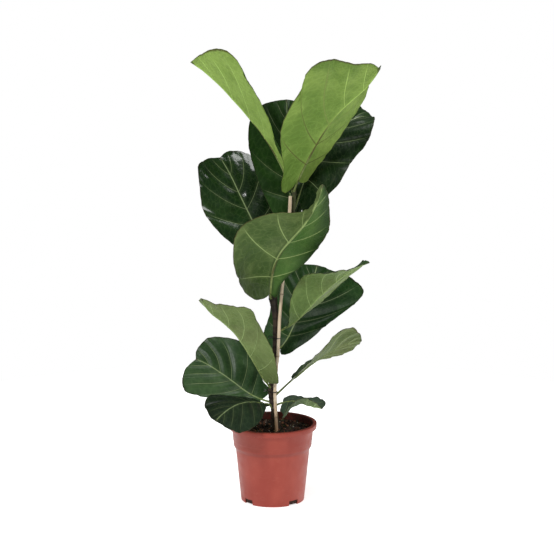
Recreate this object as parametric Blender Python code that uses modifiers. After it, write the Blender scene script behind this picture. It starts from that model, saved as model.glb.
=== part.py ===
"""A potted fiddle leaf fig: thirteen leaves on one slim trunk tied to a bamboo stake, in a nursery pot.

Metres, +Z up. The origin is the centre of the pot's underside. The front is towards -Y.
"""

import math
import random

import bmesh
import bpy
import numpy as np
from mathutils import Matrix

MM = 0.001
GAP = 0.3 * MM  # clearance between neighbouring pieces
MERGE_DISTANCE = 0.001 * MM

# Pot, a 19 cm nursery pot
POT_HEIGHT = 170 * MM
POT_WALL = 1.6 * MM
POT_FLOOR = 2 * MM
LIP_RADIUS = 95 * MM
LIP_HEIGHT = 11 * MM
LIP_INSIDE_RADIUS = 86 * MM
BAND_TOP_RADIUS = 87.5 * MM
BAND_BOTTOM_RADIUS = 84 * MM
BAND_BOTTOM_Z = 121 * MM
BAND_LINE_Z = 133 * MM  # a fine step round the band
BAND_LINE_DEPTH = 0.5 * MM
BAND_TAPER = 2.2 * MM  # from its top down to that step
POT_EASE = 1 * MM  # how much its edges are broken
BODY_TOP_RADIUS = 79.6 * MM
BODY_TOP_Z = 113 * MM
BASE_RADIUS = 68.2 * MM
POT_STEPS = 40
NOTCH_ANGLES = (-139, -49, 41, 131)  # degrees from +X, four drain notches in the foot
NOTCH_WIDTH = 24 * MM
NOTCH_HEIGHT = 11 * MM
NOTCH_INNER_RADIUS = 60 * MM

# Soil
SOIL_TOP_Z = 156 * MM
SOIL_RINGS = (1.0, 0.9, 0.76, 0.6, 0.44, 0.28, 0.12)  # of the soil's radius
SOIL_LUMP = 1.8 * MM
SOIL_WIDENING = 0.08  # of its radius for each unit of height above the band's foot
STEM_HOLE_BOTTOM_Z = 59.5 * MM

# Trunk and stake: centre line and radius in mm, from the soil up
STEM_BOTTOM_Z = 60
TRUNK = (
    (8, 0, STEM_BOTTOM_Z, 9), (8, 0, 120, 10), (8, 0, 153, 10), (3, 1, 195, 7), (-4, 2, 237, 5.8),
    (-1, 1.5, 265, 5.5), (2, 1, 296, 5.5), (5, 1, 329, 5.5), (6, 1, 392, 5.8), (3, 1, 425, 7.5),
    (1, 1, 440, 9), (-1, 1, 458, 7), (6, 1, 490, 5.5), (17, 1, 530, 5), (28, 2, 565, 4.8),
    (36, 2, 595, 4.6), (43, 1, 625, 4.4), (45, 0, 655, 4.2), (46, 0, 683, 3.5), (46.5, 0, 705, 0.5),
)
STAKE_RADIUS = 3.6
STAKE = (
    (8.4, -17, STEM_BOTTOM_Z), (8.4, -17, 153), (5, -8, 240), (8.5, -8, 296), (11.5, -8.5, 329),
    (14.3, -8, 392), (18, -7.5, 438), (26, -8, 530), (32, -8, 590), (35.5, -8, 625), (37.5, -8, 662),
)
STAKE_JOINTS = (186, 318, 452, 583)  # heights of the bamboo's joints, mm
STAKE_JOINT_SWELL = 0.7  # mm
LEAF_SCAR_SWELL = 0.6  # mm
STEM_SIDES = 2  # bevel resolution, for eight sides
RING_SHAPE = ((-3, 0), (-0.5, 1), (1.5, 0.6))  # heights from a swelling's middle, mm, and its share there
CLOSEST_RINGS = 1.4  # mm between two cross-sections of a stem

# Wire ties round the trunk and the stake
TIE_HEIGHTS = {"tie_lower": 239, "tie_upper": 357}  # mm
TIE_RADIUS = 0.8  # mm
TIE_SLACK = 0.15  # mm
TIE_TURN_POINTS = 7  # round each stem
TIE_TAIL = 9  # mm
TIE_TAIL_FOOT = 2.1  # mm from the wire's loop to where a tail turns outwards
TIE_TAIL_GAP = 0.3  # mm between the tails, on each side of their middle
TIE_TAIL_DROP = (-1.5, 2)  # mm that each end is bent down or up
TIE_CLIMB = 0.5  # mm that the loop rises or falls, so that its ends pass each other

# Blades
BLADE_THICKNESS = 0.9 * MM
MIDRIB_THICKNESS = 3.6 * MM  # at the foot of the blade
MIDRIB_TIP_SHARE = 0.35
VEIN_SHARE = 0.22
VEIN_PUCKER = 2.4  # mm that the blade swells up between two side veins
VEINS = 6  # side veins up each half, the last at the tip
ROWS_PER_VEIN = 3
LOBE_STEPS = (0, 0.012, 0.03)  # the rows where the lobes behind the petiole turn, before the even ones
COLUMNS = (0, 0.05, 0.36, 0.68, 1)  # from the midrib to the margin
VEIN_START = 1.12  # power that spaces the veins' starts along the midrib
VEIN_END = 0.62  # power that spaces their ends round the margin: under 1, so that the veins slant forward
VEIN_BEND = (0.28, 0.55)  # how far forward and out a vein's bend lies
RIPPLE_POWER = 1.5  # how the ripples grow out to the margin
RIPPLE_FREE = 0.35  # share of the half width, next to the midrib, where the ripples fade out
PUCKER_ENDS = (0.06, 0.94)  # no swelling nearer to the midrib or to the margin
FOOT_SHAPE = ((-0.04, 0.17), (-0.065, 0.5), (-0.035, 0.82))  # a base lobe: back along the blade, out
TIP_SHAPE = (0.987, 0.5)  # the last turn of the outline before the tip
PETIOLE_RADIUS = 2.3  # mm at the trunk
PETIOLE_END_RADIUS = 1.9  # mm at the blade
PETIOLE_SPACING = 7  # mm between its cross-sections
PETIOLE_UNDER_BLADE = ((4, 1.5, 1.8), (14, 1.7, 1.5), (34, 1.5, 0.7))  # mm along, below the blade, radius
PETIOLE_SEAT = 3  # mm that it starts in the trunk's middle below its seat
PETIOLE_SEAT_LOW = 16  # mm, where the trunk leans away from the seat
RIB_STEPS = 240
FLATTEST_CURL = 0.001  # radians

# The outline of half a blade: places along it (of its length), with the share of the half width at each
ALONG = (0.055, 0.17, 0.30, 0.44, 0.58, 0.70, 0.82, 0.91, 0.962)
BROW_LIFT = (0, 0, 0, 0, 0, 0.2, 0.45, 0.75, 1.0)
FIDDLE = (0.56, 0.62, 0.66, 0.75, 0.92, 1, 0.98, 0.82, 0.56)

# Leaves, from the top of the plant down. Millimetres and degrees.
#   at: where the petiole leaves the trunk; stalk, length: petiole and blade along the midrib
#   azimuth, rise: the midrib's heading and slope at even stations; roll: the blade turned about it
#   Each pair is (left half, right half), seen along the leaf from the trunk with its upper side up:
#   half: half width; fold, curl: the slope up from the midrib and its change out to the margin
#   wave: height, count and phase of the ripples; edge: the outline; ear: the lobes behind the petiole
#   brow: how far the shoulders pass the notch at the tip
STRAIGHT = (0, 0, 0, 0)
LEAVES = {
    "leaf_01": dict(
        at=(43, 0, 668), azimuth=(185, 195, 195, 192, 190), rise=(72, 60, 50, 46, 33), stalk=38,
        length=320, ear=(0.15, 0.5), half=(82, 88),
        fold=((12, 8, 22, 32, 42, 50), (20, 30, 30, 28, 22, 15)), curl=((0, 5, 5, 10), (0, 5, 5, 5)),
        wave=((3, 4.3, 0.66), (9, 3.3, 0.3)),
        edge=(
            (0.14, 0.34, 0.45, 0.66, 0.84, 0.84, 0.97, 0.92, 0.6),
            (0.4, 0.52, 0.68, 0.84, 1.04, 1.2, 1.12, 0.8, 0.3),
        ),
    ),
    "leaf_02": dict(
        at=(45, -4, 672), azimuth=(304, 318, 322, 320, 325), rise=(60, 57, 50, 36, 58), stalk=28,
        length=326, brow=(0.03, 0.03), ear=(0.4, 1.9), half=(98, 105),
        fold=((5, 0, -6, 4, 34, 42), (38, 38, 38, 38, 36, 30)), curl=(STRAIGHT, (0, 0, 5, 10)),
        wave=((4, 3.5, 0.1), (5, 3.3, 0.4)),
        edge=(
            (0.4, 0.54, 0.6, 0.64, 0.74, 0.76, 0.5, 0.2, 0.08),
            (0.36, 0.58, 0.8, 0.88, 0.92, 1.12, 1.14, 0.96, 0.44),
        ),
    ),
    "leaf_03": dict(
        at=(40, 4, 600), azimuth=(95, 95, 96, 96), rise=(52, 66, 72, 74), stalk=28, length=250,
        half=(86, 52),
        fold=((16, 12, 8, 8), (28, 24, 18, 14)), curl=((-10, -10, 0, 10), (0, 0, 0, 10)),
        wave=((5, 3.5, 0.3), (3, 3.3, 0.1)),
        edge=(
            (0.55, 0.68, 0.82, 0.93, 1, 1, 0.95, 0.8, 0.55),
            (0.55, 0.68, 0.82, 0.93, 1, 1, 0.95, 0.8, 0.55),
        ),
    ),
    "leaf_04": dict(
        at=(44, 2, 628), azimuth=(30, 32, 34, 34, 32), rise=(66, 66, 47, 26, -10), stalk=40, length=262,
        ear=(0.3, 2.2), half=(60, 92),
        fold=((30, 35, 38, 30), (-8, -22, -22, -12, 5)), curl=(STRAIGHT, (-10, -10, -10, -10)),
        wave=((3, 3.5, 0.3), (4, 3.3, 0.1)),
        edge=(FIDDLE, (0.8, 0.9, 0.9, 0.9, 0.92, 0.86, 0.7, 0.46, 0.24)),
    ),
    "leaf_05": dict(
        at=(0, 2, 505), azimuth=(136, 136, 133, 128, 146), rise=(60, 58, 52, 50, 50), stalk=28,
        length=250, brow=(0.04, 0.04), half=(92, 95),
        fold=((-5, -15, -22, -22, -20, -15), (20, 30, 38, 38, 30, 22)),
        curl=((-5, -5, -5, 5), (-5, -5, 0, 5)), wave=((5, 3.5, 0.2), (4, 3.3, 0.1)),
        edge=(
            (0.55, 0.68, 0.85, 0.95, 0.97, 0.88, 0.8, 0.78, 0.7),
            (0.55, 0.65, 0.75, 0.85, 0.93, 0.9, 0.78, 0.64, 0.46),
        ),
    ),
    "leaf_06": dict(
        at=(-3, -4, 442), azimuth=(262, 275, 287, 304, 314, 312, 306, 300, 296),
        rise=(12, 58, 60, 50, 42, 42, 48, 56, 62), stalk=36, length=326, ear=(0.8, 2.1), half=(88, 106),
        fold=((0, -18, -20, -14, 2, 8), (30, 38, 60, 105, 118, 85)),
        curl=(STRAIGHT, (5, 15, 40, 60, 35, 10)), wave=((4, 3.5, 0.1), (4, 2.3, 0.5)),
        edge=(
            (0.22, 0.42, 0.7, 0.86, 0.78, 0.62, 0.4, 0.25, 0.12),
            (0.78, 0.9, 0.98, 0.74, 0.47, 0.36, 0.26, 0.16, 0.08),
        ),
    ),
    "leaf_07": dict(
        at=(6, 0, 366), azimuth=(15, -15, -28, -32, -32, -30, -25), rise=(22, 40, 46, 44, 40, 32, 22),
        stalk=28, length=250, ear=(0.4, 0.2), half=(76, 82),
        fold=((0, 3, 3, 3, 8, 28), (5, 36, 54, 33, 8, 0)), curl=(STRAIGHT, (0, 10, 10, 0, 0)),
        wave=((3, 3.5, 0.1), (4, 3.3, 0.5)),
        edge=(
            (0.4, 0.55, 0.66, 0.75, 0.92, 0.96, 0.78, 0.36, 0.16),
            (0.28, 0.48, 0.62, 0.7, 0.8, 0.86, 0.76, 0.36, 0.16),
        ),
    ),
    "leaf_08": dict(
        at=(5, 5, 324), azimuth=(50, 66, 66, 71, 76, 80), rise=(14, 30, 33, 31, 28, 24), stalk=24,
        length=280, ear=(1, 1.5), half=(95, 118),
        fold=((10, 8, 8, 8), (-5, -12, -14, -14)), curl=(STRAIGHT, STRAIGHT),
        wave=((4, 3.5, 0.3), (4, 3.3, 0.1)),
        edge=(FIDDLE, (0.32, 0.44, 0.52, 0.66, 0.84, 0.96, 0.98, 0.82, 0.44)),
    ),
    "leaf_09": dict(
        at=(-5, -2, 247), azimuth=(232, 220, 215, 212, 212), rise=(45, 56, 55, 54, 42, 40, 70), stalk=22,
        length=260, ear=(0.3, 0.6), half=(80, 80),
        fold=((5, 22, 36, 42, 28, 16), (40, 40, 34, 24, 16, 14)), curl=((0, 5, 5, 5), (0, 0, 5, 5)),
        wave=((4, 3.5, 0.1), (4, 3.3, 0.5)),
        edge=(
            (0.5, 0.62, 0.72, 0.7, 0.75, 0.92, 0.95, 0.62, 0.3),
            (0.5, 0.6, 0.66, 0.75, 0.92, 1, 0.9, 0.6, 0.28),
        ),
    ),
    "leaf_10": dict(
        at=(3, 0, 226), azimuth=(-5, -12, -15, -15), rise=(46, 42, 32, 14), stalk=64, length=172,
        brow=(0, 0.05), half=(60, 68),
        fold=((15, 16, -18, -34, -28, -18), (8, 8, 9, 16, 34, 36)), curl=(STRAIGHT, STRAIGHT),
        wave=((2, 3.5, 0.1), (2, 3.3, 0.5)),
        edge=(
            (0.5, 0.56, 0.56, 0.5, 0.54, 0.6, 0.62, 0.45, 0.25),
            (0.34, 0.5, 0.64, 0.78, 0.84, 0.85, 0.95, 1.01, 0.9),
        ),
    ),
    "leaf_11": dict(
        at=(-3, 2, 214), azimuth=(166, 172, 172, 172), rise=(8, 24, 37, 34, 31, 18),
        roll=(-40, -50, -50, -45), stalk=24, length=165, brow=(0.09, 0.05), ear=(0.2, 1), half=(80, 80),
        fold=((0, 5, 5, 5), (0, 5, 5, 5)), curl=((-10, -10, -10, -10), (-5, -5, -5, -5)),
        wave=((4, 3.5, 0.3), (5, 3.3, 0.1)),
        edge=(
            (0.2, 0.28, 0.42, 0.6, 0.82, 0.94, 1, 1, 0.8),
            (0.5, 0.65, 0.85, 1.04, 1.06, 1.04, 0.95, 0.78, 0.48),
        ),
    ),
    "leaf_12": dict(
        at=(-4, -4, 209), azimuth=(232, 230, 232, 234), rise=(22, 12, -8, -28), stalk=20, length=170,
        ear=(0.5, 0.2), half=(68, 46),
        fold=((-20, -34, -38, -38, -35), (8, 12, 14, 16)), curl=((-10, -10, -10, -10), STRAIGHT),
        wave=((4, 3.5, 0.1), (4, 3.3, 0.1)),
        edge=(
            (0.2, 0.42, 0.7, 0.84, 0.91, 0.9, 0.84, 0.76, 0.62),
            (0.3, 0.5, 0.7, 0.85, 1.12, 1.25, 1.1, 0.7, 0.45),
        ),
    ),
    "leaf_13": dict(
        at=(5, 0, 207), azimuth=(0, -50, -56, -54, -52, -46), rise=(24, 20, 8, -2, 2, 4),
        roll=(30, 25, 5, 0, 0, 0), stalk=20, length=136, ear=(0.6, 0.5), half=(52, 55),
        fold=((0, 0, 5, 18, 22, 20), (-14, -36, -30, 5, 50, 45)),
        curl=((-5, -5, -5, -5), (-10, -10, -5, 0)), wave=((2, 3.5, 0.1), (3, 3.3, 0.5)),
        edge=(
            (0.5, 0.55, 0.6, 0.66, 0.7, 0.62, 0.55, 0.45, 0.3),
            (0.5, 0.76, 0.95, 0.95, 0.8, 0.62, 0.5, 0.44, 0.32),
        ),
    ),
}

# Colours (linear), roughness
POT_COLOR = (0.42, 0.095, 0.075)
SOIL_COLOR = (0.012, 0.009, 0.006)
TRUNK_COLOR = (0.05, 0.028, 0.018)
STAKE_COLOR = (0.56, 0.42, 0.27)
TIE_COLOR = (0.01, 0.01, 0.01)
YOUNG_LEAF_COLOR = (0.14, 0.24, 0.05)
LEAF_COLOR = (0.03, 0.09, 0.022)
YOUNG_LEAVES = ("leaf_01", "leaf_02", "leaf_06", "leaf_07", "leaf_09", "leaf_10")


# Curves through stations


def catmull(values, k, share):
    """Catmull-Rom between entries k and k + 1 of values, whose ends are carried on straight."""
    ends = np.concatenate([[2 * values[0] - values[1]], values, [2 * values[-1] - values[-2]]])
    a, b, c, d = ends[k], ends[k + 1], ends[k + 2], ends[k + 3]
    square = share**2
    bend = (2 * a - 5 * b + 4 * c - d) * square + (3 * b - a - 3 * c + d) * square * share
    return 0.5 * (2 * b + (c - a) * share + bend)


def smooth(points, where):
    """The curve through points, at shares of its chord length."""
    points = np.asarray(points, float)
    chord = np.concatenate([[0], np.cumsum(np.linalg.norm(np.diff(points, axis=0), axis=1))])
    run = np.clip(np.asarray(where, float), 0, 1) * chord[-1]
    k = np.clip(np.searchsorted(chord, run, side="right") - 1, 0, len(points) - 2)
    return catmull(points, k, ((run - chord[k]) / (chord[k + 1] - chord[k]))[..., None])


def stations(values, where):
    """Evenly spaced values, read smoothly at shares of the run."""
    values = np.asarray(values, float)
    run = np.clip(where, 0, 1) * (len(values) - 1)
    k = np.clip(np.floor(run).astype(int), 0, len(values) - 2)
    return catmull(values, k, run - k)


# The leaf's form


def midrib(leaf):
    """Places and directions along the petiole and midrib, in mm from the trunk to the tip."""
    total = leaf["stalk"] + leaf["length"]
    share = np.linspace(0, 1, RIB_STEPS + 1)
    heading = np.radians(stations(leaf["azimuth"], share))
    slope = np.radians(stations(leaf["rise"], share))
    ahead = np.stack([np.cos(slope) * np.cos(heading), np.cos(slope) * np.sin(heading), np.sin(slope)], -1)
    steps = (ahead[1:] + ahead[:-1]) / 2 * total / RIB_STEPS
    place = np.vstack([[0, 0, 0], np.cumsum(steps, axis=0)])
    up = np.array([0, 0, 1.0]) - ahead[:, 2:] * ahead
    up /= np.linalg.norm(up, axis=1)[:, None]
    right = np.cross(ahead, up)
    roll = np.radians(stations(leaf.get("roll", STRAIGHT), share))[:, None]
    up = up * np.cos(roll) + right * np.sin(roll)
    return {"run": share * total, "place": place, "ahead": ahead, "up": up, "right": np.cross(ahead, up)}


def along_rib(rib, key, run):
    return np.stack([np.interp(run, rib["run"], rib[key][:, axis]) for axis in range(3)], -1)


def outline(edge, brow, ear):
    """Half a blade's outline from the petiole round to the tip: (along, out), as shares."""
    foot = [(back * ear, out * edge[0]) for back, out in FOOT_SHAPE]
    side = [(along + brow * lift, out) for along, out, lift in zip(ALONG, edge, BROW_LIFT)]
    return [(0, 0), *foot, *side, (TIP_SHAPE[0] + brow, TIP_SHAPE[1] * edge[-1]), (1, 0)]


def half_blade(leaf, rib, half, steps, columns):
    """Points of one half blade, in mm. Each row runs like a side vein, from the midrib to the margin."""
    step = np.asarray(steps, float)[:, None]
    edge = leaf.get("edge", (FIDDLE, FIDDLE))[half]
    shape = outline(edge, leaf.get("brow", (0, 0))[half], leaf.get("ear", (1, 1))[half])
    margin = smooth(shape, step[:, 0] ** VEIN_END)[:, None, :]
    start = np.concatenate([step**VEIN_START, np.zeros_like(step)], -1)[:, None, :]
    bend = start + (margin - start) * np.array(VEIN_BEND)
    out = np.asarray(columns, float)[None, :, None]
    flat = (1 - out) ** 2 * start + 2 * out * (1 - out) * bend + out**2 * margin
    width = leaf["half"][half]
    forward, sideways = flat[..., 0] * leaf["length"], flat[..., 1] * width

    run = leaf["stalk"] + forward
    on_rib = np.clip(run, leaf["stalk"], rib["run"][-1])
    ahead = along_rib(rib, "ahead", on_rib)
    up = along_rib(rib, "up", on_rib)
    right = along_rib(rib, "right", on_rib)
    place = along_rib(rib, "place", on_rib) + ahead * (run - on_rib)[..., None]

    share = np.clip(forward / leaf["length"], 0, 1)
    fold = np.radians(stations(leaf["fold"][half], share))
    curl = np.radians(stations(leaf["curl"][half], share))
    curl = np.where(np.abs(curl) < FLATTEST_CURL, FLATTEST_CURL, curl)
    across = np.clip(sideways / width, 0, None)
    slope = fold + curl * across
    level = (np.sin(slope) - np.sin(fold)) / curl * width
    height = (np.cos(fold) - np.cos(slope)) / curl * width
    side = (-1, 1)[half]
    normal = -side * np.sin(slope)[..., None] * right + np.cos(slope)[..., None] * up
    rise, count, phase = leaf["wave"][half]
    ripple = rise * across**RIPPLE_POWER * np.clip(across / RIPPLE_FREE, 0, 1)
    wave = ripple * np.sin(2 * math.pi * (count * step + phase))
    swelling = np.sin(math.pi * np.clip(out[..., 0], *PUCKER_ENDS)) * np.clip((1 - step) * VEINS, 0, 1)
    pucker = VEIN_PUCKER * np.sin(math.pi * step * VEINS) ** 2 * swelling
    lift = (wave + pucker)[..., None] * normal
    return place + side * level[..., None] * right + height[..., None] * up + lift


def row_steps():
    """The rows' places from the petiole to the tip, and which of them are side veins."""
    rows = VEINS * ROWS_PER_VEIN
    steps = [*LOBE_STEPS, *(row / rows for row in range(1, rows + 1))]
    veins = [row % ROWS_PER_VEIN == 0 for row in range(1, rows + 1)]
    return steps, [False] * len(LOBE_STEPS) + veins


def blade_points(leaf, rib, steps):
    """Points from the left margin over the midrib to the right margin, row by row from the petiole."""
    left = half_blade(leaf, rib, 0, steps, COLUMNS)
    right = half_blade(leaf, rib, 1, steps, COLUMNS)
    return np.concatenate([left[:, ::-1], right[:, 1:]], axis=1)


# Objects


def material(name, color, roughness, metallic=0.0):
    made = bpy.data.materials.new(name)
    made.use_nodes = True
    shader = made.node_tree.nodes["Principled BSDF"]
    shader.inputs["Base Color"].default_value = (*color, 1)
    shader.inputs["Roughness"].default_value = roughness
    shader.inputs["Metallic"].default_value = metallic
    made.diffuse_color = (*color, 1)
    return made


def new_object(name, mesh, collection, location=(0, 0, 0)):
    made = bpy.data.objects.new(name, mesh)
    made.location = location
    collection.objects.link(made)
    return made


def evaluated_mesh(thing):
    bpy.context.view_layer.update()
    graph = bpy.context.evaluated_depsgraph_get()
    return bpy.data.meshes.new_from_object(thing.evaluated_get(graph))


def apply_modifiers(thing):
    thing.data = evaluated_mesh(thing)
    thing.modifiers.clear()


def tube(name, points, radii, collection, location=(0, 0, 0), bevel=STEM_SIDES):
    """A closed tube along points in mm, with a radius in mm at each, as a mesh object."""
    curve = bpy.data.curves.new(name, "CURVE")
    curve.dimensions = "3D"
    curve.bevel_depth = MM
    curve.bevel_resolution = bevel
    curve.use_fill_caps = True
    spline = curve.splines.new("POLY")
    spline.points.add(len(points) - 1)
    for point, place, radius in zip(spline.points, points, radii):
        point.co = (*(np.asarray(place) * MM), 1)
        point.radius = radius
    guide = new_object(name + "_line", curve, collection, location)
    mesh = evaluated_mesh(guide)
    bpy.data.objects.remove(guide)
    cleaned = bmesh.new()
    cleaned.from_mesh(mesh)
    bmesh.ops.remove_doubles(cleaned, verts=cleaned.verts, dist=MERGE_DISTANCE)
    bmesh.ops.recalc_face_normals(cleaned, faces=cleaned.faces)
    cleaned.to_mesh(mesh)
    cleaned.free()
    return new_object(name, mesh, collection, location)


def combine(target, other, operation, keep=False):
    """One Boolean, applied. The other object is removed unless it is kept for a later cut."""
    boolean = target.modifiers.new(operation.lower(), "BOOLEAN")
    boolean.operation = operation
    boolean.solver = "EXACT"
    boolean.object = other
    apply_modifiers(target)
    if not keep:
        bpy.data.objects.remove(other)


def turned(name, profile, collection):
    """A profile of (radius, height) at +X turned once round the Z axis."""
    mesh = bpy.data.meshes.new(name)
    edges = [(k, k + 1) for k in range(len(profile) - 1)]
    mesh.from_pydata([(radius, 0, height) for radius, height in profile], edges, [])
    made = new_object(name, mesh, collection)
    screw = made.modifiers.new("turn", "SCREW")
    screw.steps = POT_STEPS
    screw.render_steps = POT_STEPS
    screw.use_merge_vertices = True
    screw.merge_threshold = MERGE_DISTANCE
    return made


def finish(thing, look, parent, sharp=40):
    thing.data.materials.clear()
    thing.data.materials.append(look)
    thing.data.shade_smooth()
    thing.data.set_sharp_from_angle(angle=math.radians(sharp))
    thing.parent = parent


# Pot and soil


def inner_wall():
    """The inside of the pot from its floor up: (radius, height)."""
    return [
        (BASE_RADIUS - POT_WALL, POT_FLOOR),
        (BODY_TOP_RADIUS - POT_WALL, BODY_TOP_Z),
        (BAND_BOTTOM_RADIUS - POT_WALL, BAND_BOTTOM_Z),
    ]


def build_pot(parts, cutters):
    lip_bottom = POT_HEIGHT - LIP_HEIGHT
    line_radius = BAND_TOP_RADIUS - BAND_TAPER
    outside = [
        (LIP_INSIDE_RADIUS, POT_HEIGHT - POT_EASE),
        (LIP_INSIDE_RADIUS + POT_EASE, POT_HEIGHT),
        (LIP_RADIUS - 1.5 * POT_EASE, POT_HEIGHT),
        (LIP_RADIUS, POT_HEIGHT - 1.5 * POT_EASE),
        (LIP_RADIUS - 0.5 * POT_EASE, lip_bottom),
        (BAND_TOP_RADIUS, lip_bottom),
        (line_radius, BAND_LINE_Z),
        (line_radius - BAND_LINE_DEPTH, BAND_LINE_Z - POT_EASE),
        (BAND_BOTTOM_RADIUS, BAND_BOTTOM_Z),
        (BODY_TOP_RADIUS, BODY_TOP_Z),
        (BASE_RADIUS, POT_EASE),
        (BASE_RADIUS - POT_EASE, 0),
        (0, 0),
    ]
    pot = turned("pot", [(0, POT_FLOOR), *inner_wall(), *outside], parts)
    apply_modifiers(pot)
    depth = BASE_RADIUS + 4 * MM - NOTCH_INNER_RADIUS
    for angle in NOTCH_ANGLES:
        bpy.ops.mesh.primitive_cube_add(size=1)
        notch = bpy.context.object
        notch.name = "notch"
        notch.data.transform(Matrix.Diagonal((depth, NOTCH_WIDTH, 2 * NOTCH_HEIGHT, 1)))
        middle = NOTCH_INNER_RADIUS + depth / 2
        notch.location = (middle * math.cos(math.radians(angle)), middle * math.sin(math.radians(angle)), 0)
        notch.rotation_euler.z = math.radians(angle)
        for collection in notch.users_collection:
            collection.objects.unlink(notch)
        cutters.objects.link(notch)
        combine(pot, notch, "DIFFERENCE")
    return pot


def build_soil(parts, cutters, trunk_points, trunk_radii, stake_points, stake_radii):
    wall = [(radius - GAP, height) for radius, height in inner_wall()]
    wall[0] = (wall[0][0], POT_FLOOR + GAP)
    top_radius = wall[-1][0] + (SOIL_TOP_Z - BAND_BOTTOM_Z) * SOIL_WIDENING
    top = [(top_radius * ring, SOIL_TOP_Z) for ring in SOIL_RINGS]
    soil = turned("soil", [(0, SOIL_TOP_Z), *top[::-1], *wall[::-1], (0, POT_FLOOR + GAP)], parts)
    apply_modifiers(soil)
    rough = random.Random(5)
    for vertex in soil.data.vertices:
        radius = math.hypot(vertex.co.x, vertex.co.y)
        if vertex.co.z > SOIL_TOP_Z - MM and radius < top_radius - MM:
            vertex.co.z += rough.uniform(-1, 1) * SOIL_LUMP
    for points, radii in ((trunk_points, trunk_radii), (stake_points, stake_radii)):
        above = [k for k, point in enumerate(points) if point[2] * MM > SOIL_TOP_Z + 2 * SOIL_LUMP][0]
        inside = range(above + 1)
        hole_points = [np.array(points[k]) for k in inside]
        hole_points[0] = hole_points[0] - np.array([0, 0, STEM_BOTTOM_Z - STEM_HOLE_BOTTOM_Z / MM])
        hole = tube("hole", hole_points, [radii[k] + GAP / MM for k in inside], cutters)
        combine(soil, hole, "DIFFERENCE")
    return soil


# Trunk, stake and ties


def path_at(points, heights):
    """Points and radii of a stem at the given heights, in mm."""
    dense = smooth(points, np.linspace(0, 1, 600))
    columns = [np.interp(heights, dense[:, 2], dense[:, axis]) for axis in range(len(points[0]))]
    return np.stack(columns, -1).tolist()


def stem(points, swellings, swell):
    """Centre points and radii of a stem with a ring at each swelling."""
    heights = {float(point[2]): 0.0 for point in points}
    for ring in swellings:
        for off, share in RING_SHAPE:
            heights[ring + off] = swell * share
    order = sorted(heights)
    spaced = [order[0]]
    for height in order[1:]:
        if height - spaced[-1] > CLOSEST_RINGS:
            spaced.append(height)
    sampled = path_at(points, spaced)
    return [row[:3] for row in sampled], [row[3] + heights[height] for row, height in zip(sampled, spaced)]


def build_tie(name, height, trunk_row, stake_row, parts):
    """A wire round the trunk and the stake, with its two ends turned out side by side."""
    clear = TIE_RADIUS + GAP / MM + TIE_SLACK
    centres = (np.array(trunk_row[:2]), np.array(stake_row[:2]))
    reach = (trunk_row[3] + clear, stake_row[3] + clear)
    between = centres[1] - centres[0]
    heading = math.atan2(between[1], between[0])
    spread = math.acos((reach[0] - reach[1]) / np.linalg.norm(between))
    loop = []
    for centre, radius, first, last in (
        (centres[0], reach[0], heading + spread, heading + 2 * math.pi - spread),
        (centres[1], reach[1], heading - spread, heading + spread),
    ):
        half_turn = (last - first) / (TIE_TURN_POINTS - 1) / 2
        for angle in np.linspace(first, last, TIE_TURN_POINTS):
            loop.append(centre + radius / math.cos(half_turn) * np.array([math.cos(angle), math.sin(angle)]))
    loop = np.array(loop)
    loop = np.roll(loop, -int(np.argmin(loop[:, 0])), axis=0)
    outward = (loop[0] - centres[0]) / np.linalg.norm(loop[0] - centres[0])
    along = np.array([-outward[1], outward[0]])
    if (loop[1] - loop[0]) @ along < 0:
        along = -along
    side = along * (TIE_RADIUS + TIE_TAIL_GAP)
    foot = loop[0] + outward * TIE_TAIL_FOOT
    end = loop[0] + outward * TIE_TAIL
    flat = [end + 2 * side, foot + side, *loop[1:], foot - side, end - 2 * side]
    climb = np.linspace(-TIE_CLIMB, TIE_CLIMB, len(flat))
    climb[0] += TIE_TAIL_DROP[0]
    climb[-1] += TIE_TAIL_DROP[1]
    points = [(point[0], point[1], height + rise) for point, rise in zip(flat, climb)]
    return tube(name, points, [TIE_RADIUS] * len(points), parts, bevel=1)


# Leaves


def build_blade(name, leaf, rib, parts, seat):
    """The blade as an open grid along its side veins, given thickness, with its ribs on the underside."""
    steps, on_vein = row_steps()
    points = blade_points(leaf, rib, steps)
    rows, columns = (count - 1 for count in points.shape[:2])
    middle = columns // 2
    grid = bmesh.new()
    bmesh.ops.create_grid(grid, x_segments=columns, y_segments=rows, size=1)
    rib_layer = grid.verts.layers.deform.verify()
    for vertex in grid.verts:
        column = round((vertex.co.x + 1) / 2 * columns)
        row = round((vertex.co.y + 1) / 2 * rows)
        weight = 0.0
        if column == middle:
            weight = 1 - (1 - MIDRIB_TIP_SHARE) * steps[row]
        elif on_vein[row] and 0 < column < columns:
            weight = VEIN_SHARE
        vertex[rib_layer][0] = weight
        vertex.co = points[row, column] * MM
    bmesh.ops.remove_doubles(grid, verts=grid.verts, dist=MERGE_DISTANCE)
    bmesh.ops.triangulate(grid, faces=grid.faces, quad_method="SHORT_EDGE")
    mesh = bpy.data.meshes.new(name)
    grid.to_mesh(mesh)
    grid.free()
    blade = new_object(name, mesh, parts, seat)
    blade.vertex_groups.new(name="ribs")
    shell = blade.modifiers.new("thickness", "SOLIDIFY")
    shell.thickness = MIDRIB_THICKNESS
    shell.offset = -1
    shell.vertex_group = "ribs"
    shell.thickness_vertex_group = BLADE_THICKNESS / MIDRIB_THICKNESS
    apply_modifiers(blade)
    blade.vertex_groups.clear()
    return blade


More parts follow.
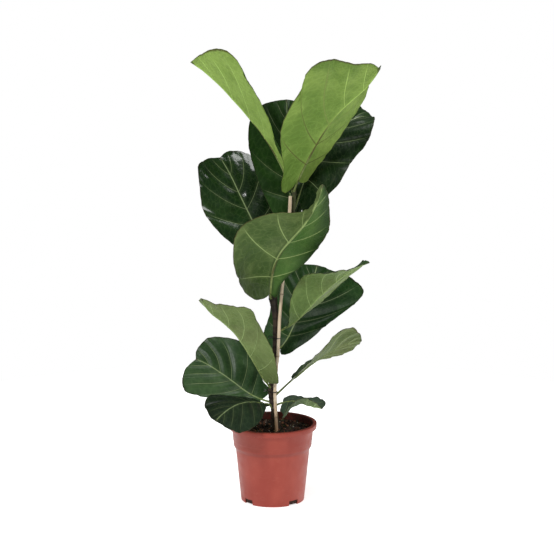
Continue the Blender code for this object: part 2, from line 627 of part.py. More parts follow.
def build_petiole(leaf, rib, cutters, seat, trunk_axis):
    """The leaf stalk, from inside the trunk out and on under the blade."""
    stalk = leaf["stalk"]
    free = np.linspace(2, stalk - 3, max(4, round(stalk / PETIOLE_SPACING)))
    along, below, under_radii = zip(*PETIOLE_UNDER_BLADE)
    runs = np.array([*free, *(stalk + run for run in along)])
    depths = np.array([*np.zeros(len(free)), *below])
    radii = [*np.linspace(PETIOLE_RADIUS, PETIOLE_END_RADIUS, len(free)), *under_radii]
    places = along_rib(rib, "place", runs) - along_rib(rib, "up", runs) * depths[:, None]
    root = np.array(trunk_axis) - np.array(leaf["at"])
    return tube("petiole", [root, *places], [PETIOLE_RADIUS, *radii], cutters, seat)


def build_leaf(name, leaf, parts, cutters, trunk_clear):
    rib = midrib(leaf)
    seat = tuple(value * MM for value in leaf["at"])
    axis = path_at(TRUNK, [leaf["at"][2] - PETIOLE_SEAT])[0][:3]
    if math.hypot(axis[0] - leaf["at"][0], axis[1] - leaf["at"][1]) > PETIOLE_RADIUS * 3:
        axis = path_at(TRUNK, [leaf["at"][2] - PETIOLE_SEAT_LOW])[0][:3]
    blade = build_blade(name, leaf, rib, parts, seat)
    petiole = build_petiole(leaf, rib, cutters, seat, axis)
    combine(petiole, trunk_clear, "DIFFERENCE", keep=True)
    combine(blade, petiole, "UNION")
    return blade


def clear_scene():
    for thing in list(bpy.data.objects):
        bpy.data.objects.remove(thing)


def main():
    clear_scene()
    parts = bpy.data.collections.new("potted_fiddle_leaf_fig")
    cutters = bpy.data.collections.new("cutters")
    for collection in (parts, cutters):
        bpy.context.scene.collection.children.link(collection)
    cutters.hide_render = True
    plant = bpy.data.objects.new("plant", None)
    parts.objects.link(plant)

    scars = sorted(leaf["at"][2] for leaf in LEAVES.values())
    trunk_points, trunk_radii = stem(TRUNK, scars, LEAF_SCAR_SWELL)
    stake_rows = [(*point, STAKE_RADIUS) for point in STAKE]
    stake_points, stake_radii = stem(stake_rows, STAKE_JOINTS, STAKE_JOINT_SWELL)

    looks = {
        "pot": material("pot_plastic", POT_COLOR, 0.45),
        "soil": material("potting_soil", SOIL_COLOR, 0.95),
        "trunk": material("fig_bark", TRUNK_COLOR, 0.75),
        "stake": material("bamboo", STAKE_COLOR, 0.55),
        "tie": material("tie_wire", TIE_COLOR, 0.4),
        "leaf": material("leaf_green", LEAF_COLOR, 0.35),
        "young": material("leaf_light_green", YOUNG_LEAF_COLOR, 0.45),
    }

    finish(build_pot(parts, cutters), looks["pot"], plant, 30)
    soil = build_soil(parts, cutters, trunk_points, trunk_radii, stake_points, stake_radii)
    finish(soil, looks["soil"], plant)
    finish(tube("trunk", trunk_points, trunk_radii, parts), looks["trunk"], plant, 50)
    finish(tube("stake", stake_points, stake_radii, parts), looks["stake"], plant, 50)
    for name, height in TIE_HEIGHTS.items():
        trunk_row = path_at(TRUNK, [height])[0]
        stake_row = path_at(stake_rows, [height])[0]
        finish(build_tie(name, height, trunk_row, stake_row, parts), looks["tie"], plant, 50)

    trunk_clear = tube("trunk_clear", trunk_points, [radius + GAP / MM for radius in trunk_radii], cutters)
    for name, leaf in LEAVES.items():
        look = looks["young" if name in YOUNG_LEAVES else "leaf"]
        finish(build_leaf(name, leaf, parts, cutters, trunk_clear), look, plant, 60)
    bpy.data.objects.remove(trunk_clear)
    bpy.data.collections.remove(cutters)


main()
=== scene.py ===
"""The looks of a potted fiddle leaf fig: fine leaves with veins, bark, bamboo, soil and a nursery pot, in metres."""

import random
from math import cos, exp, hypot, pi, radians, sin, sqrt

import bmesh
import bpy
import numpy as np
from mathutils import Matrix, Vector, noise
from numpy.linalg import norm


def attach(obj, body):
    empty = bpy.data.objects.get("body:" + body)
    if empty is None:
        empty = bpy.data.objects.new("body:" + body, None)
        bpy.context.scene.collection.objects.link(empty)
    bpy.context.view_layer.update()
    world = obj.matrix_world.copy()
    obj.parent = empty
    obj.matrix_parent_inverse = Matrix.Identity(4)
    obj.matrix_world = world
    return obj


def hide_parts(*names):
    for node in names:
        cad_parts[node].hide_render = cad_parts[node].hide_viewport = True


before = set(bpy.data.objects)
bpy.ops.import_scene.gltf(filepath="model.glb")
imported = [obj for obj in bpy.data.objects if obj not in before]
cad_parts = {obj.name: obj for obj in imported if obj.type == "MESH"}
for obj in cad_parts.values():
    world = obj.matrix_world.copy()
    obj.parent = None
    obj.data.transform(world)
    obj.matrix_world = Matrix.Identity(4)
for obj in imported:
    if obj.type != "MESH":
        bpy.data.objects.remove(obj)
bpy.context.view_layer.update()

MM = 0.001

# Pot and soil
POT_HEIGHT = 170 * MM
POT_WALL = 1.6 * MM
POT_FLOOR = 2 * MM
LIP_RADIUS = 95 * MM
LIP_HEIGHT = 11 * MM
LIP_INSIDE_RADIUS = 86 * MM
LIP_BEVEL = 1.2 * MM
BAND_TOP_RADIUS = 87.5 * MM
BAND_BOTTOM_RADIUS = 84 * MM
BAND_BOTTOM_Z = 121 * MM
BAND_LINE_Z = 133 * MM
BAND_LINE_DEPTH = 0.5 * MM
BAND_TAPER = 2.2 * MM
BODY_TOP_RADIUS = 79.6 * MM
BODY_TOP_Z = 113 * MM
BASE_RADIUS = 68.2 * MM
BASE_BEVEL = 0.6 * MM
POT_ROUNDING = 1.3 * MM
POT_STEPS = 128
NOTCH_ANGLES = (-139, -49, 41, 131)
NOTCH_WIDTH = 24 * MM
NOTCH_HEIGHT = 11 * MM
NOTCH_INNER_RADIUS = 60 * MM
SOIL_TOP_Z = 155 * MM
SOIL_RADIUS = 84.7 * MM
SOIL_RINGS = 46
SOIL_SPOKES = 160
SOIL_SIDE = ((81.9 * MM, 121 * MM), (77.6 * MM, 113 * MM), (66.2 * MM, POT_FLOOR + 0.3 * MM))  # radius, height
# Loose crumbs: name, dark and light 8-bit sRGB, count, smallest and largest radius in mm
CRUMBS = (
    ("crumb_dark", (20, 16, 12), (54, 42, 32), 380, (1.4, 4.4)),
    ("crumb_brown", (72, 42, 30), (128, 86, 60), 170, (1.4, 4.4)),
    ("crumb_pale", (150, 148, 132), (212, 210, 198), 70, (0.9, 2.2)),
    ("crumb_moss", (48, 66, 30), (82, 100, 46), 40, (1.2, 3.0)),
)
CRUMB_REACH = 82 * MM

# Stage: the camera, a white floor disc, a dim white room and three soft lamps
CAMERA_PLACE = (0.0093, -4.0, 1.227)
CAMERA_TILT = 79.53  # degrees up from straight down
CAMERA_LENS = 124.5  # mm
SENSOR_WIDTH = 36  # mm
FLOOR_RADIUS = 1.3
FLOOR_GLOW = 0.62
WHITE = (1, 1, 1, 1)
PAPER_LIGHT = 1.0
ROOM_LIGHT = 0.32
WALL_SHARE = 0.3  # how much of the room shows in a gloss
# name, place, aim, size in m, watts
LAMPS = (
    ("key_light", (-1.7, -2.4, 2.7), (0, 0, 0.5), 0.9, 62),
    ("fill_light", (2.4, -2.0, 1.7), (0, 0, 0.5), 1.1, 26),
    ("top_light", (0.3, 0.6, 2.9), (0, 0, 0.4), 1.2, 34),
)

# Trunk and stake: centre line and radius in mm, from inside the soil up
STEM_BOTTOM_Z = 60
TRUNK = (
    (8, 0, STEM_BOTTOM_Z, 9), (8, 0, 120, 10), (8, 0, 153, 10), (3, 1, 195, 7), (-4, 2, 237, 5.8),
    (-1, 1.5, 265, 5.5), (2, 1, 296, 5.5), (5, 1, 329, 5.5), (6, 1, 392, 5.8), (3, 1, 425, 7.5),
    (1, 1, 440, 9), (-1, 1, 458, 7), (6, 1, 490, 5.5), (17, 1, 530, 5), (28, 2, 565, 4.8),
    (36, 2, 595, 4.6), (43, 1, 625, 4.4), (45, 0, 655, 4.2), (46, 0, 683, 3.5), (46.5, 0, 705, 0.5),
)
STAKE_RADIUS = 3.6
STAKE = (
    (8.4, -17, STEM_BOTTOM_Z), (8.4, -17, 153), (5, -8, 240), (8.5, -8, 296), (11.5, -8.5, 329),
    (14.3, -8, 392), (18, -7.5, 438), (26, -8, 530), (32, -8, 590), (35.5, -8, 625), (37.5, -8, 662),
)
STAKE_JOINTS = (186, 318, 452, 583)  # mm: heights of its joints
STAKE_JOINT_SWELL = 0.7  # mm
STAKE_FOOT_FADE = (150 * MM, 230 * MM)  # where the stake's orange foot ends
LEAF_SCAR_SWELL = 0.9  # mm
OLD_SCARS = (262, 640)  # mm: where the trunk has the rings of older leaves
OLD_SCAR_SWELL = (0.2, 0.5)  # mm
OLD_SCAR_GAP = (9, 22)  # mm
RING_WIDTH = 1.6  # mm
SHEATH = (412, 452)  # mm: the darkest bark
GREEN_Z, GREEN_FADE = 470, 130  # mm: where the bark turns green, and over what height
BUD_Z = 668  # mm: where the dark bud starts

# Blades
BLADE_THICKNESS = 0.9  # mm
MIDRIB_THICKNESS = 3.4  # mm
VEIN_PUCKER = 2.4  # mm
VEIN_RELIEF = 1.0  # mm that the side veins stand out underneath
RUFFLES = ((27, 0.9), (14, 0.45))  # mm: length and height of a margin's small waves
RUFFLE_LENGTHS = (0.85, 1.2)  # how much their length varies
RUFFLE_PULL = 0.5  # how far they pull the margin in, of their height
RUFFLE_CALM = 25  # mm at each end of a margin without them
RUFFLE_START, RUFFLE_POWER = 0.55, 1.6  # share out where they start, and how they grow
VEINS = 6
VEIN_START = 1.12
VEIN_END = 0.62
VEIN_BEND = (0.28, 0.55)
RIPPLE_POWER = 1.5
RIPPLE_FREE = 0.35
PUCKER_ENDS = (0.06, 0.94)
FOOT_SHAPE = ((-0.04, 0.17), (-0.065, 0.5), (-0.035, 0.82))
TIP_SHAPE = (0.987, 0.5)
FLATTEST_CURL = 0.001  # radians
PETIOLE_RADIUS = 2.3  # mm at the trunk
PETIOLE_END_RADIUS = 1.9  # mm at the blade
PETIOLE_FLARE = 1.25  # thicker inside the trunk
PETIOLE_RINGS = 44
PETIOLE_SIDES = 12
RIB_REACH = 0.55  # how far the petiole's piece runs on under the blade
RIB_SWELL_AT = 14  # mm into the blade
RIB_RADII = (1.8, 1.6, 0.6)  # mm at the blade's foot, there and at the end
RIB_DEPTHS = (1.5, 1.7, 0.9)  # mm of its centre below the blade there
VEIN_WIDTH = 0.95  # mm from its middle to where the relief is a third
VEIN_END_OUT = 1.15  # share out where a side vein would end
VEIN_GROOVE = 0.35  # mm
RIB_WIDTH, RIB_WIDENING = 1.2, 0.7  # mm, and how much more at the foot
RIB_GROOVE = 0.1  # mm
TIP_THINNING = 0.65  # of the veins' relief gone at the tip
FAR_FROM_VEIN = 20  # mm, beyond the last side vein
TINY = 1e-6  # mm
SMALLEST_NORMAL = 1e-4
SAME_PLACE = 0.004 * MM
SMOOTH_ANGLE = radians(60)
POT_SMOOTH_ANGLE = radians(35)
RIB_STEPS = 240
AROUND_VEIN = (0, 0.016, 0.036, 0.075, 0.14, 0.24, 0.37, 0.5, 0.63, 0.76, 0.86, 0.925, 0.964, 0.984)
LOBE_LINES = (0.003, 0.007, 0.013, 0.022, 0.034, 0.05)  # more lines in the lobes
FINE_COLUMNS = (0, 0.011, 0.026, 0.05, 0.085, 0.13, 0.185, 0.25, 0.32, 0.395)
FINE_COLUMNS += (0.47, 0.55, 0.63, 0.71, 0.785, 0.86, 0.92, 0.965, 1)

# The outline of half a blade: places along it, and how far out it is at each, in % of the half width
ALONG = (0.055, 0.17, 0.30, 0.44, 0.58, 0.70, 0.82, 0.91, 0.962)
BROW_LIFT = (0, 0, 0, 0, 0, 0.2, 0.45, 0.75, 1.0)
FIDDLE = (56, 62, 66, 75, 92, 100, 98, 82, 56)
BROAD = (55, 68, 82, 93, 100, 100, 95, 80, 55)

# Leaves, from the top of the plant down. Millimetres and degrees.
#   at: where the petiole leaves the trunk; stalk, length: petiole and blade along the midrib
#   azimuth, rise, roll: the midrib's heading and slope, and the blade's turn about it, at even stations
#   Each pair is (left half, right half), seen along the leaf from the trunk with its upper side up:
#   half: half width; fold, curl: the slope up from the midrib and its change out to the margin
#   wave: height, count and phase of the ripples; edge: the outline, like FIDDLE; ear: the lobes behind the petiole
#   brow: how far the shoulders pass the notch at the tip
STRAIGHT = (0, 0)
LEAVES = dict(
    leaf_01=dict(
        at=(43, 0, 668), azimuth=(185, 195, 195, 192, 190), rise=(72, 60, 50, 46, 33), stalk=38, length=320,
        ear=(0.15, 0.5), half=(82, 88), fold=((12, 8, 22, 32, 42, 50), (20, 30, 30, 28, 22, 15)),
        curl=((0, 5, 5, 10), (0, 5, 5, 5)), wave=((3, 4.3, 0.66), (9, 3.3, 0.3)),
        edge=((14, 34, 45, 66, 84, 84, 97, 92, 60), (40, 52, 68, 84, 104, 120, 112, 80, 30)),
    ),
    leaf_02=dict(
        at=(45, -4, 672), azimuth=(304, 318, 322, 320, 325), rise=(60, 57, 50, 36, 58), stalk=28, length=326,
        brow=(0.03, 0.03), ear=(0.4, 1.9), half=(98, 105), fold=((5, 0, -6, 4, 34, 42), (38, 38, 38, 38, 36, 30)),
        curl=(STRAIGHT, (0, 0, 5, 10)), wave=((4, 3.5, 0.1), (5, 3.3, 0.4)),
        edge=((40, 54, 60, 64, 74, 76, 50, 20, 8), (36, 58, 80, 88, 92, 112, 114, 96, 44)),
    ),
    leaf_03=dict(
        at=(40, 4, 600), azimuth=(95, 95, 96, 96), rise=(52, 66, 72, 74), stalk=28, length=250, half=(86, 52),
        fold=((16, 12, 8, 8), (28, 24, 18, 14)), curl=((-10, -10, 0, 10), (0, 0, 0, 10)),
        wave=((5, 3.5, 0.3), (3, 3.3, 0.1)), edge=(BROAD, BROAD),
    ),
    leaf_04=dict(
        at=(44, 2, 628), azimuth=(30, 32, 34, 34, 32), rise=(66, 66, 47, 26, -10), stalk=40, length=262,
        ear=(0.3, 2.2), half=(60, 92), fold=((30, 35, 38, 30), (-8, -22, -22, -12, 5)),
        curl=(STRAIGHT, (-10, -10)), wave=((3, 3.5, 0.3), (4, 3.3, 0.1)),
        edge=(FIDDLE, (80, 90, 90, 90, 92, 86, 70, 46, 24)),
    ),
    leaf_05=dict(
        at=(0, 2, 505), azimuth=(136, 136, 133, 128, 146), rise=(60, 58, 52, 50, 50), stalk=28, length=250,
        brow=(0.04, 0.04), half=(92, 95), fold=((-5, -15, -22, -22, -20, -15), (20, 30, 38, 38, 30, 22)),
        curl=((-5, -5, -5, 5), (-5, -5, 0, 5)), wave=((5, 3.5, 0.2), (4, 3.3, 0.1)),
        edge=((55, 68, 85, 95, 97, 88, 80, 78, 70), (55, 65, 75, 85, 93, 90, 78, 64, 46)),
    ),
    leaf_06=dict(
        at=(-3, -4, 442), azimuth=(262, 275, 287, 304, 314, 312, 306, 300, 296),
        rise=(12, 58, 60, 50, 42, 42, 48, 56, 62), stalk=36, length=326, ear=(0.8, 2.1), half=(88, 106),
        fold=((0, -18, -20, -14, 2, 8), (30, 38, 60, 105, 118, 85)), curl=(STRAIGHT, (5, 15, 40, 60, 35, 10)),
        wave=((4, 3.5, 0.1), (4, 2.3, 0.5)),
        edge=((22, 42, 70, 86, 78, 62, 40, 25, 12), (78, 90, 98, 74, 47, 36, 26, 16, 8)),
    ),
    leaf_07=dict(
        at=(6, 0, 366), azimuth=(15, -15, -28, -32, -32, -30, -25), rise=(22, 40, 46, 44, 40, 32, 22), stalk=28,
        length=250, ear=(0.4, 0.2), half=(76, 82), fold=((0, 3, 3, 3, 8, 28), (5, 36, 54, 33, 8, 0)),
        curl=(STRAIGHT, (0, 10, 10, 0, 0)), wave=((3, 3.5, 0.1), (4, 3.3, 0.5)),
        edge=((40, 55, 66, 75, 92, 96, 78, 36, 16), (28, 48, 62, 70, 80, 86, 76, 36, 16)),
    ),
    leaf_08=dict(
        at=(5, 5, 324), azimuth=(50, 66, 66, 71, 76, 80), rise=(14, 30, 33, 31, 28, 24), stalk=24, length=280,
        ear=(1, 1.5), half=(95, 118), fold=((10, 8, 8, 8), (-5, -12, -14, -14)), curl=(STRAIGHT, STRAIGHT),
        wave=((4, 3.5, 0.3), (4, 3.3, 0.1)), edge=(FIDDLE, (32, 44, 52, 66, 84, 96, 98, 82, 44)),
    ),
    leaf_09=dict(
        at=(-5, -2, 247), azimuth=(232, 220, 215, 212, 212), rise=(45, 56, 55, 54, 42, 40, 70), stalk=22, length=260,
        ear=(0.3, 0.6), half=(80, 80), fold=((5, 22, 36, 42, 28, 16), (40, 40, 34, 24, 16, 14)),
        curl=((0, 5, 5, 5), (0, 0, 5, 5)), wave=((4, 3.5, 0.1), (4, 3.3, 0.5)),
        edge=((50, 62, 72, 70, 75, 92, 95, 62, 30), (50, 60, 66, 75, 92, 100, 90, 60, 28)),
    ),
    leaf_10=dict(
        at=(3, 0, 226), azimuth=(-5, -12, -15, -15), rise=(46, 42, 32, 14), stalk=64, length=172, brow=(0, 0.05),
        half=(60, 68), fold=((15, 16, -18, -34, -28, -18), (8, 8, 9, 16, 34, 36)), curl=(STRAIGHT, STRAIGHT),
        wave=((2, 3.5, 0.1), (2, 3.3, 0.5)),
        edge=((50, 56, 56, 50, 54, 60, 62, 45, 25), (34, 50, 64, 78, 84, 85, 95, 101, 90)),
    ),
    leaf_11=dict(
        at=(-3, 2, 214), azimuth=(166, 172, 172, 172), rise=(8, 24, 37, 34, 31, 18), roll=(-40, -50, -50, -45),
        stalk=24, length=165, brow=(0.09, 0.05), ear=(0.2, 1), half=(80, 80), fold=((0, 5, 5, 5), (0, 5, 5, 5)),
        curl=((-10, -10), (-5, -5)), wave=((4, 3.5, 0.3), (5, 3.3, 0.1)),
        edge=((20, 28, 42, 60, 82, 94, 100, 100, 80), (50, 65, 85, 104, 106, 104, 95, 78, 48)),
    ),
    leaf_12=dict(
        at=(-4, -4, 209), azimuth=(232, 230, 232, 234), rise=(22, 12, -8, -28), stalk=20, length=170, ear=(0.5, 0.2),
        half=(68, 46), fold=((-20, -34, -38, -38, -35), (8, 12, 14, 16)), curl=((-10, -10), STRAIGHT),
        wave=((4, 3.5, 0.1), (4, 3.3, 0.1)),
        edge=((20, 42, 70, 84, 91, 90, 84, 76, 62), (30, 50, 70, 85, 112, 125, 110, 70, 45)),
    ),
    leaf_13=dict(
        at=(5, 0, 207), azimuth=(0, -50, -56, -54, -52, -46), rise=(24, 20, 8, -2, 2, 4), roll=(30, 25, 5, 0, 0, 0),
        stalk=20, length=136, ear=(0.6, 0.5), half=(52, 55), fold=((0, 0, 5, 18, 22, 20), (-14, -36, -30, 5, 50, 45)),
        curl=((-5, -5), (-10, -10, -5, 0)), wave=((2, 3.5, 0.1), (3, 3.3, 0.5)),
        edge=((50, 55, 60, 66, 70, 62, 55, 45, 30), (50, 76, 95, 95, 80, 62, 50, 44, 32)),
    ),
)

# Curves through stations


def catmull(values, k, share):
    """Catmull-Rom between entries k and k + 1 of values, whose ends are carried on straight."""
    ends = np.concatenate([[2 * values[0] - values[1]], values, [2 * values[-1] - values[-2]]])
    a, b, c, d = ends[k], ends[k + 1], ends[k + 2], ends[k + 3]
    square = share**2
    bend = (2 * a - 5 * b + 4 * c - d) * square + (3 * b - a - 3 * c + d) * square * share
    return 0.5 * (2 * b + (c - a) * share + bend)


def runs_along(points):
    """Distances along the points, from the first."""
    return np.concatenate([[0], np.cumsum(norm(np.diff(points, axis=0), axis=1))])


def smooth(points, where):
    """The curve through points, at shares of its chord length."""
    points = np.asarray(points, float)
    chord = runs_along(points)
    run = np.clip(np.asarray(where, float), 0, 1) * chord[-1]
    k = np.clip(np.searchsorted(chord, run, side="right") - 1, 0, len(points) - 2)
    return catmull(points, k, ((run - chord[k]) / (chord[k + 1] - chord[k]))[..., None])


def stations(values, where):
    """Evenly spaced values, read smoothly at shares of the run."""
    values = np.asarray(values, float)
    run = np.clip(where, 0, 1) * (len(values) - 1)
    k = np.clip(np.floor(run).astype(int), 0, len(values) - 2)
    return catmull(values, k, run - k)


# The leaf's form


def midrib(leaf):
    """Places and directions along the petiole and midrib, in mm from the trunk to the tip."""
    total = leaf["stalk"] + leaf["length"]
    share = np.linspace(0, 1, RIB_STEPS + 1)
    heading, slope = (np.radians(stations(leaf[key], share)) for key in ("azimuth", "rise"))
    ahead = np.stack([np.cos(slope) * np.cos(heading), np.cos(slope) * np.sin(heading), np.sin(slope)], -1)
    steps = (ahead[1:] + ahead[:-1]) / 2 * total / RIB_STEPS
    place = np.vstack([[0, 0, 0], np.cumsum(steps, axis=0)])
    up = np.array([0, 0, 1.0]) - ahead[:, 2:] * ahead
    up /= norm(up, axis=1)[:, None]
    right = np.cross(ahead, up)
    roll = np.radians(stations(leaf.get("roll", STRAIGHT), share))[:, None]
    up = up * np.cos(roll) + right * np.sin(roll)
    return {"run": share * total, "place": place, "ahead": ahead, "up": up, "right": np.cross(ahead, up)}


def along_rib(rib, key, run):
    return np.stack([np.interp(run, rib["run"], rib[key][:, axis]) for axis in range(3)], -1)


def outline(edge, brow, ear):
    """Half a blade's outline from the petiole round to the tip: (along, out), as shares."""
    edge = [percent / 100 for percent in edge]
    foot = [(back * ear, out * edge[0]) for back, out in FOOT_SHAPE]
    side = [(along + brow * lift, out) for along, out, lift in zip(ALONG, edge, BROW_LIFT)]
    return [(0, 0), *foot, *side, (TIP_SHAPE[0] + brow, TIP_SHAPE[1] * edge[-1]), (1, 0)]


def half_blade(leaf, rib, half, steps, columns):
    """Points of one half blade, in mm. Each row runs like a side vein, from the midrib to the margin."""
    step = np.asarray(steps, float)[:, None]
    shape = outline(leaf["edge"][half], leaf.get("brow", (0, 0))[half], leaf.get("ear", (1, 1))[half])
    margin = smooth(shape, step[:, 0] ** VEIN_END)[:, None, :]
    start = np.concatenate([step**VEIN_START, np.zeros_like(step)], -1)[:, None, :]
    bend = start + (margin - start) * np.array(VEIN_BEND)
    out = np.asarray(columns, float)[None, :, None]
    flat = (1 - out) ** 2 * start + 2 * out * (1 - out) * bend + out**2 * margin
    width = leaf["half"][half]
    forward, sideways = flat[..., 0] * leaf["length"], flat[..., 1] * width

    run = leaf["stalk"] + forward
    on_rib = np.clip(run, leaf["stalk"], rib["run"][-1])
    place, ahead, up, right = (along_rib(rib, key, on_rib) for key in ("place", "ahead", "up", "right"))
    place = place + ahead * (run - on_rib)[..., None]

    share = np.clip(forward / leaf["length"], 0, 1)
    fold, curl = (np.radians(stations(leaf[key][half], share)) for key in ("fold", "curl"))
    curl = np.where(np.abs(curl) < FLATTEST_CURL, FLATTEST_CURL, curl)
    across = np.clip(sideways / width, 0, None)
    slope = fold + curl * across
    level = (np.sin(slope) - np.sin(fold)) / curl * width
    height = (np.cos(fold) - np.cos(slope)) / curl * width
    side = (-1, 1)[half]
    normal = -side * np.sin(slope)[..., None] * right + np.cos(slope)[..., None] * up
    rise, count, phase = leaf["wave"][half]
    ripple = rise * across**RIPPLE_POWER * np.clip(across / RIPPLE_FREE, 0, 1)
    wave = ripple * np.sin(2 * pi * (count * step + phase))
    swelling = np.sin(pi * np.clip(out[..., 0], *PUCKER_ENDS)) * np.clip((1 - step) * VEINS, 0, 1)
    pucker = VEIN_PUCKER * np.sin(pi * step * VEINS) ** 2 * swelling
    lift = (wave + pucker)[..., None] * normal
    return place + side * level[..., None] * right + height[..., None] * up + lift


# Node materials


def put(socket, value):
    """Links another node's socket to this one, or sets its value."""
    if isinstance(value, bpy.types.NodeSocket):
        socket.id_data.links.new(value, socket)
    elif value is not None:
        socket.default_value = value


def add_node(tree, kind, inputs, **settings):
    made = tree.nodes.new("ShaderNode" + kind)
    for key, value in settings.items():
        setattr(made, key, value)
    for key, value in inputs.items():
        put(made.inputs[key], value)
    return made.outputs


class Nodes:
    """Short names for building a material's nodes."""

    def __init__(self, name, roughness, specular=0.5):
        self.material = bpy.data.materials.new(name)
        self.material.use_nodes = True
        self.inputs = self.material.node_tree.nodes["Principled BSDF"].inputs
        put(self.inputs["Roughness"], roughness)
        put(self.inputs["Specular IOR Level"], specular)

    def node(self, kind, inputs, **settings):
        return add_node(self.material.node_tree, kind, inputs, **settings)

    def math(self, operation, a, b):
        return self.node("Math", {0: a, 1: b}, operation=operation)[0]

    def times(self, a, b):
        return self.math("MULTIPLY", a, b)

    def plus(self, a, b):
        return self.math("ADD", a, b)

    def attribute(self, name, output="Fac"):
        return self.node("Attribute", {}, attribute_name=name)[output]

    def place(self, scale=(1, 1, 1)):
        """Object coordinates, in metres, scaled."""
        where = self.node("TexCoord", {})["Object"]
        return self.node("Mapping", {"Vector": where, "Scale": scale})[0]

    def noise(self, where, scale, detail=2, rough=0.5, output="Fac"):
        """Noise with about this many lumps to a metre."""
        inputs = {"Vector": where, "Scale": scale, "Detail": detail, "Roughness": rough}
        return self.node("TexNoise", inputs)[output]

    def nudged(self, where, scale, reach):
        """Places moved about by noise, so that cells on them have crooked sides."""
        inputs = {0: self.noise(where, scale, output="Color"), 1: [reach] * 3, 2: where}
        return self.node("VectorMath", inputs, operation="MULTIPLY_ADD")[0]

    def cells(self, where, scale, feature="F1"):
        return self.node("TexVoronoi", {"Vector": where, "Scale": scale}, feature=feature)["Distance"]

    def split(self, where, axis):
        return self.node("SeparateXYZ", {0: where})[axis]

    def span(self, value, low, high, to_low=0, to_high=1):
        """The value carried smoothly from low..high to to_low..to_high."""
        inputs = dict(enumerate((value, low, high, to_low, to_high)))
        return self.node("MapRange", inputs, interpolation_type="SMOOTHSTEP")[0]

    def mix(self, share, a, b):
        a, b = ((*color, 1) if isinstance(color, tuple) else color for color in (a, b))
        return self.node("Mix", {0: share, 6: a, 7: b}, data_type="RGBA")[2]

    def bump(self, height, depth, strength):
        return self.node("Bump", {"Height": height, "Distance": depth, "Strength": strength})["Normal"]

    def paint(self, share, tint):
        """Mixes a share of the tint into the colour."""
        self.color = self.mix(share, self.color, tint)

    def done(self, rough=None, normal=None):
        for key, value in (("Base Color", self.color), ("Roughness", rough), ("Normal", normal)):
            put(self.inputs[key], value)
        return self.material


def srgb(*values):
    """8-bit sRGB as linear colour."""
    return tuple((v / 255 / 12.92) if v / 255 <= 0.04045 else ((v / 255 + 0.055) / 1.055) ** 2.4 for v in values)


# Looks of the leaves

# Each leaf's greens, 8-bit sRGB: upper deep, upper light, under deep, under light
GREENS = dict(
    leaf_01=((52, 88, 38), (74, 112, 48), (118, 148, 64), (146, 176, 86)),
    leaf_02=((50, 88, 36), (70, 110, 46), (102, 134, 54), (140, 168, 80)),
    leaf_03=((14, 40, 10), (34, 64, 20), (80, 104, 56), (98, 122, 70)),
    leaf_04=((10, 30, 8), (26, 52, 18), (88, 118, 56), (104, 134, 68)),
    leaf_05=((12, 32, 10), (26, 52, 20), (80, 104, 58), (96, 120, 70)),
    leaf_06=((30, 58, 26), (46, 76, 34), (66, 90, 42), (112, 130, 75)),
    leaf_07=((32, 60, 30), (48, 78, 36), (94, 118, 62), (116, 138, 78)),
    leaf_08=((18, 44, 16), (36, 66, 28), (84, 108, 62), (100, 124, 74)),
    leaf_09=((36, 64, 32), (52, 82, 40), (92, 112, 60), (116, 134, 80)),
    leaf_10=((52, 74, 48), (66, 88, 58), (82, 100, 54), (104, 118, 68)),
    leaf_11=((42, 67, 38), (64, 90, 53), (90, 112, 68), (106, 128, 80)),
    leaf_12=((20, 36, 22), (34, 52, 34), (90, 112, 68), (106, 128, 80)),
    leaf_13=((52, 70, 54), (76, 92, 78), (104, 124, 80), (122, 142, 96)),
)
VEIN_TOP = srgb(148, 166, 116)
VEIN_LIFT = {"leaf_06": 1.7}  # how much lighter than its underside a leaf's veins are
USUAL_VEIN_LIFT = 1.45
FAINT_VEINS = {"leaf_12": 0.25}  # strength of the side veins on an upper face

# Specular level and roughness of the faces
GLOSS = {"leaf_04": (0.14, 0.28), "leaf_05": (0.34, 0.16), "leaf_08": (0.05, 0.35), "leaf_12": (0.34, 0.36)}
USUAL_GLOSS = (0.16, 0.33)
UNDER_GLOSS = (0.16, 0.5)
GLOSS_RANGE = (-0.05, 0.07)  # how far the roughness varies over a face

# Share and colour of the blotches underneath
BLOTCHES = {"leaf_01": None, "leaf_02": None, "leaf_06": (0.35, srgb(72, 84, 56))}
USUAL_BLOTCH = (0.3, srgb(98, 100, 66))

# Leaves whose midrib is brown underneath, and how far along
BROWN_RIBS = {"leaf_01": 0.6, "leaf_02": 0.68, "leaf_06": 0.36}
BROWN_FADE = 0.32
RIB_BROWN = srgb(80, 74, 34)

# Depth of the broad dents and of the swelling between side veins on an upper face, times BLADE_RELIEF
SWELLS = {"leaf_04": (1.6, 2.2), "leaf_05": (5.5, 0.7)}
USUAL_SWELLS = (1.6, 4.6)
BLADE_RELIEF = 1.1 * MM

# The faces of a blade: inner and outer width of a side vein's line in mm, how much each mark shows, and the margin.
# cells is painted shade, darker in the middle of each cell of the net
FACES = dict(
    upper=dict(
        line=(0.3, 0.9), veins=0.5, cells=0.22, glow=0.05, fine=0.02, coarse=0.05, relief=0.35,
        margin=srgb(44, 46, 26),
    ),
    under=dict(
        line=(0.7, 1.7), veins=0.9, cells=0.16, glow=0.16, fine=0.04, coarse=0.16, relief=0.55,
        margin=srgb(74, 66, 34),
    ),
)
# Where these start and end, in mm from a vein's middle
MIDRIB_LINE = (1.0, 1.9)
VEIN_GLOW = (0.6, 9.0)
MIDRIB_GLOW = (1.5, 12.0)
# painted shade beside the side veins, standing in for the shade of their raised ribs
PAINTED_VEIN_SHADE = (1.0, 4.5)
# painted shadow in the crease beside leaf_06's midrib
PAINTED_CREASE_SHADOW = (2.0, 9.0)
SWELL_REACH = (0.0, 13.0)
WOBBLE = 12 * MM  # how crooked the net is


def darker(color, share):
    return tuple(share * value for value in color)


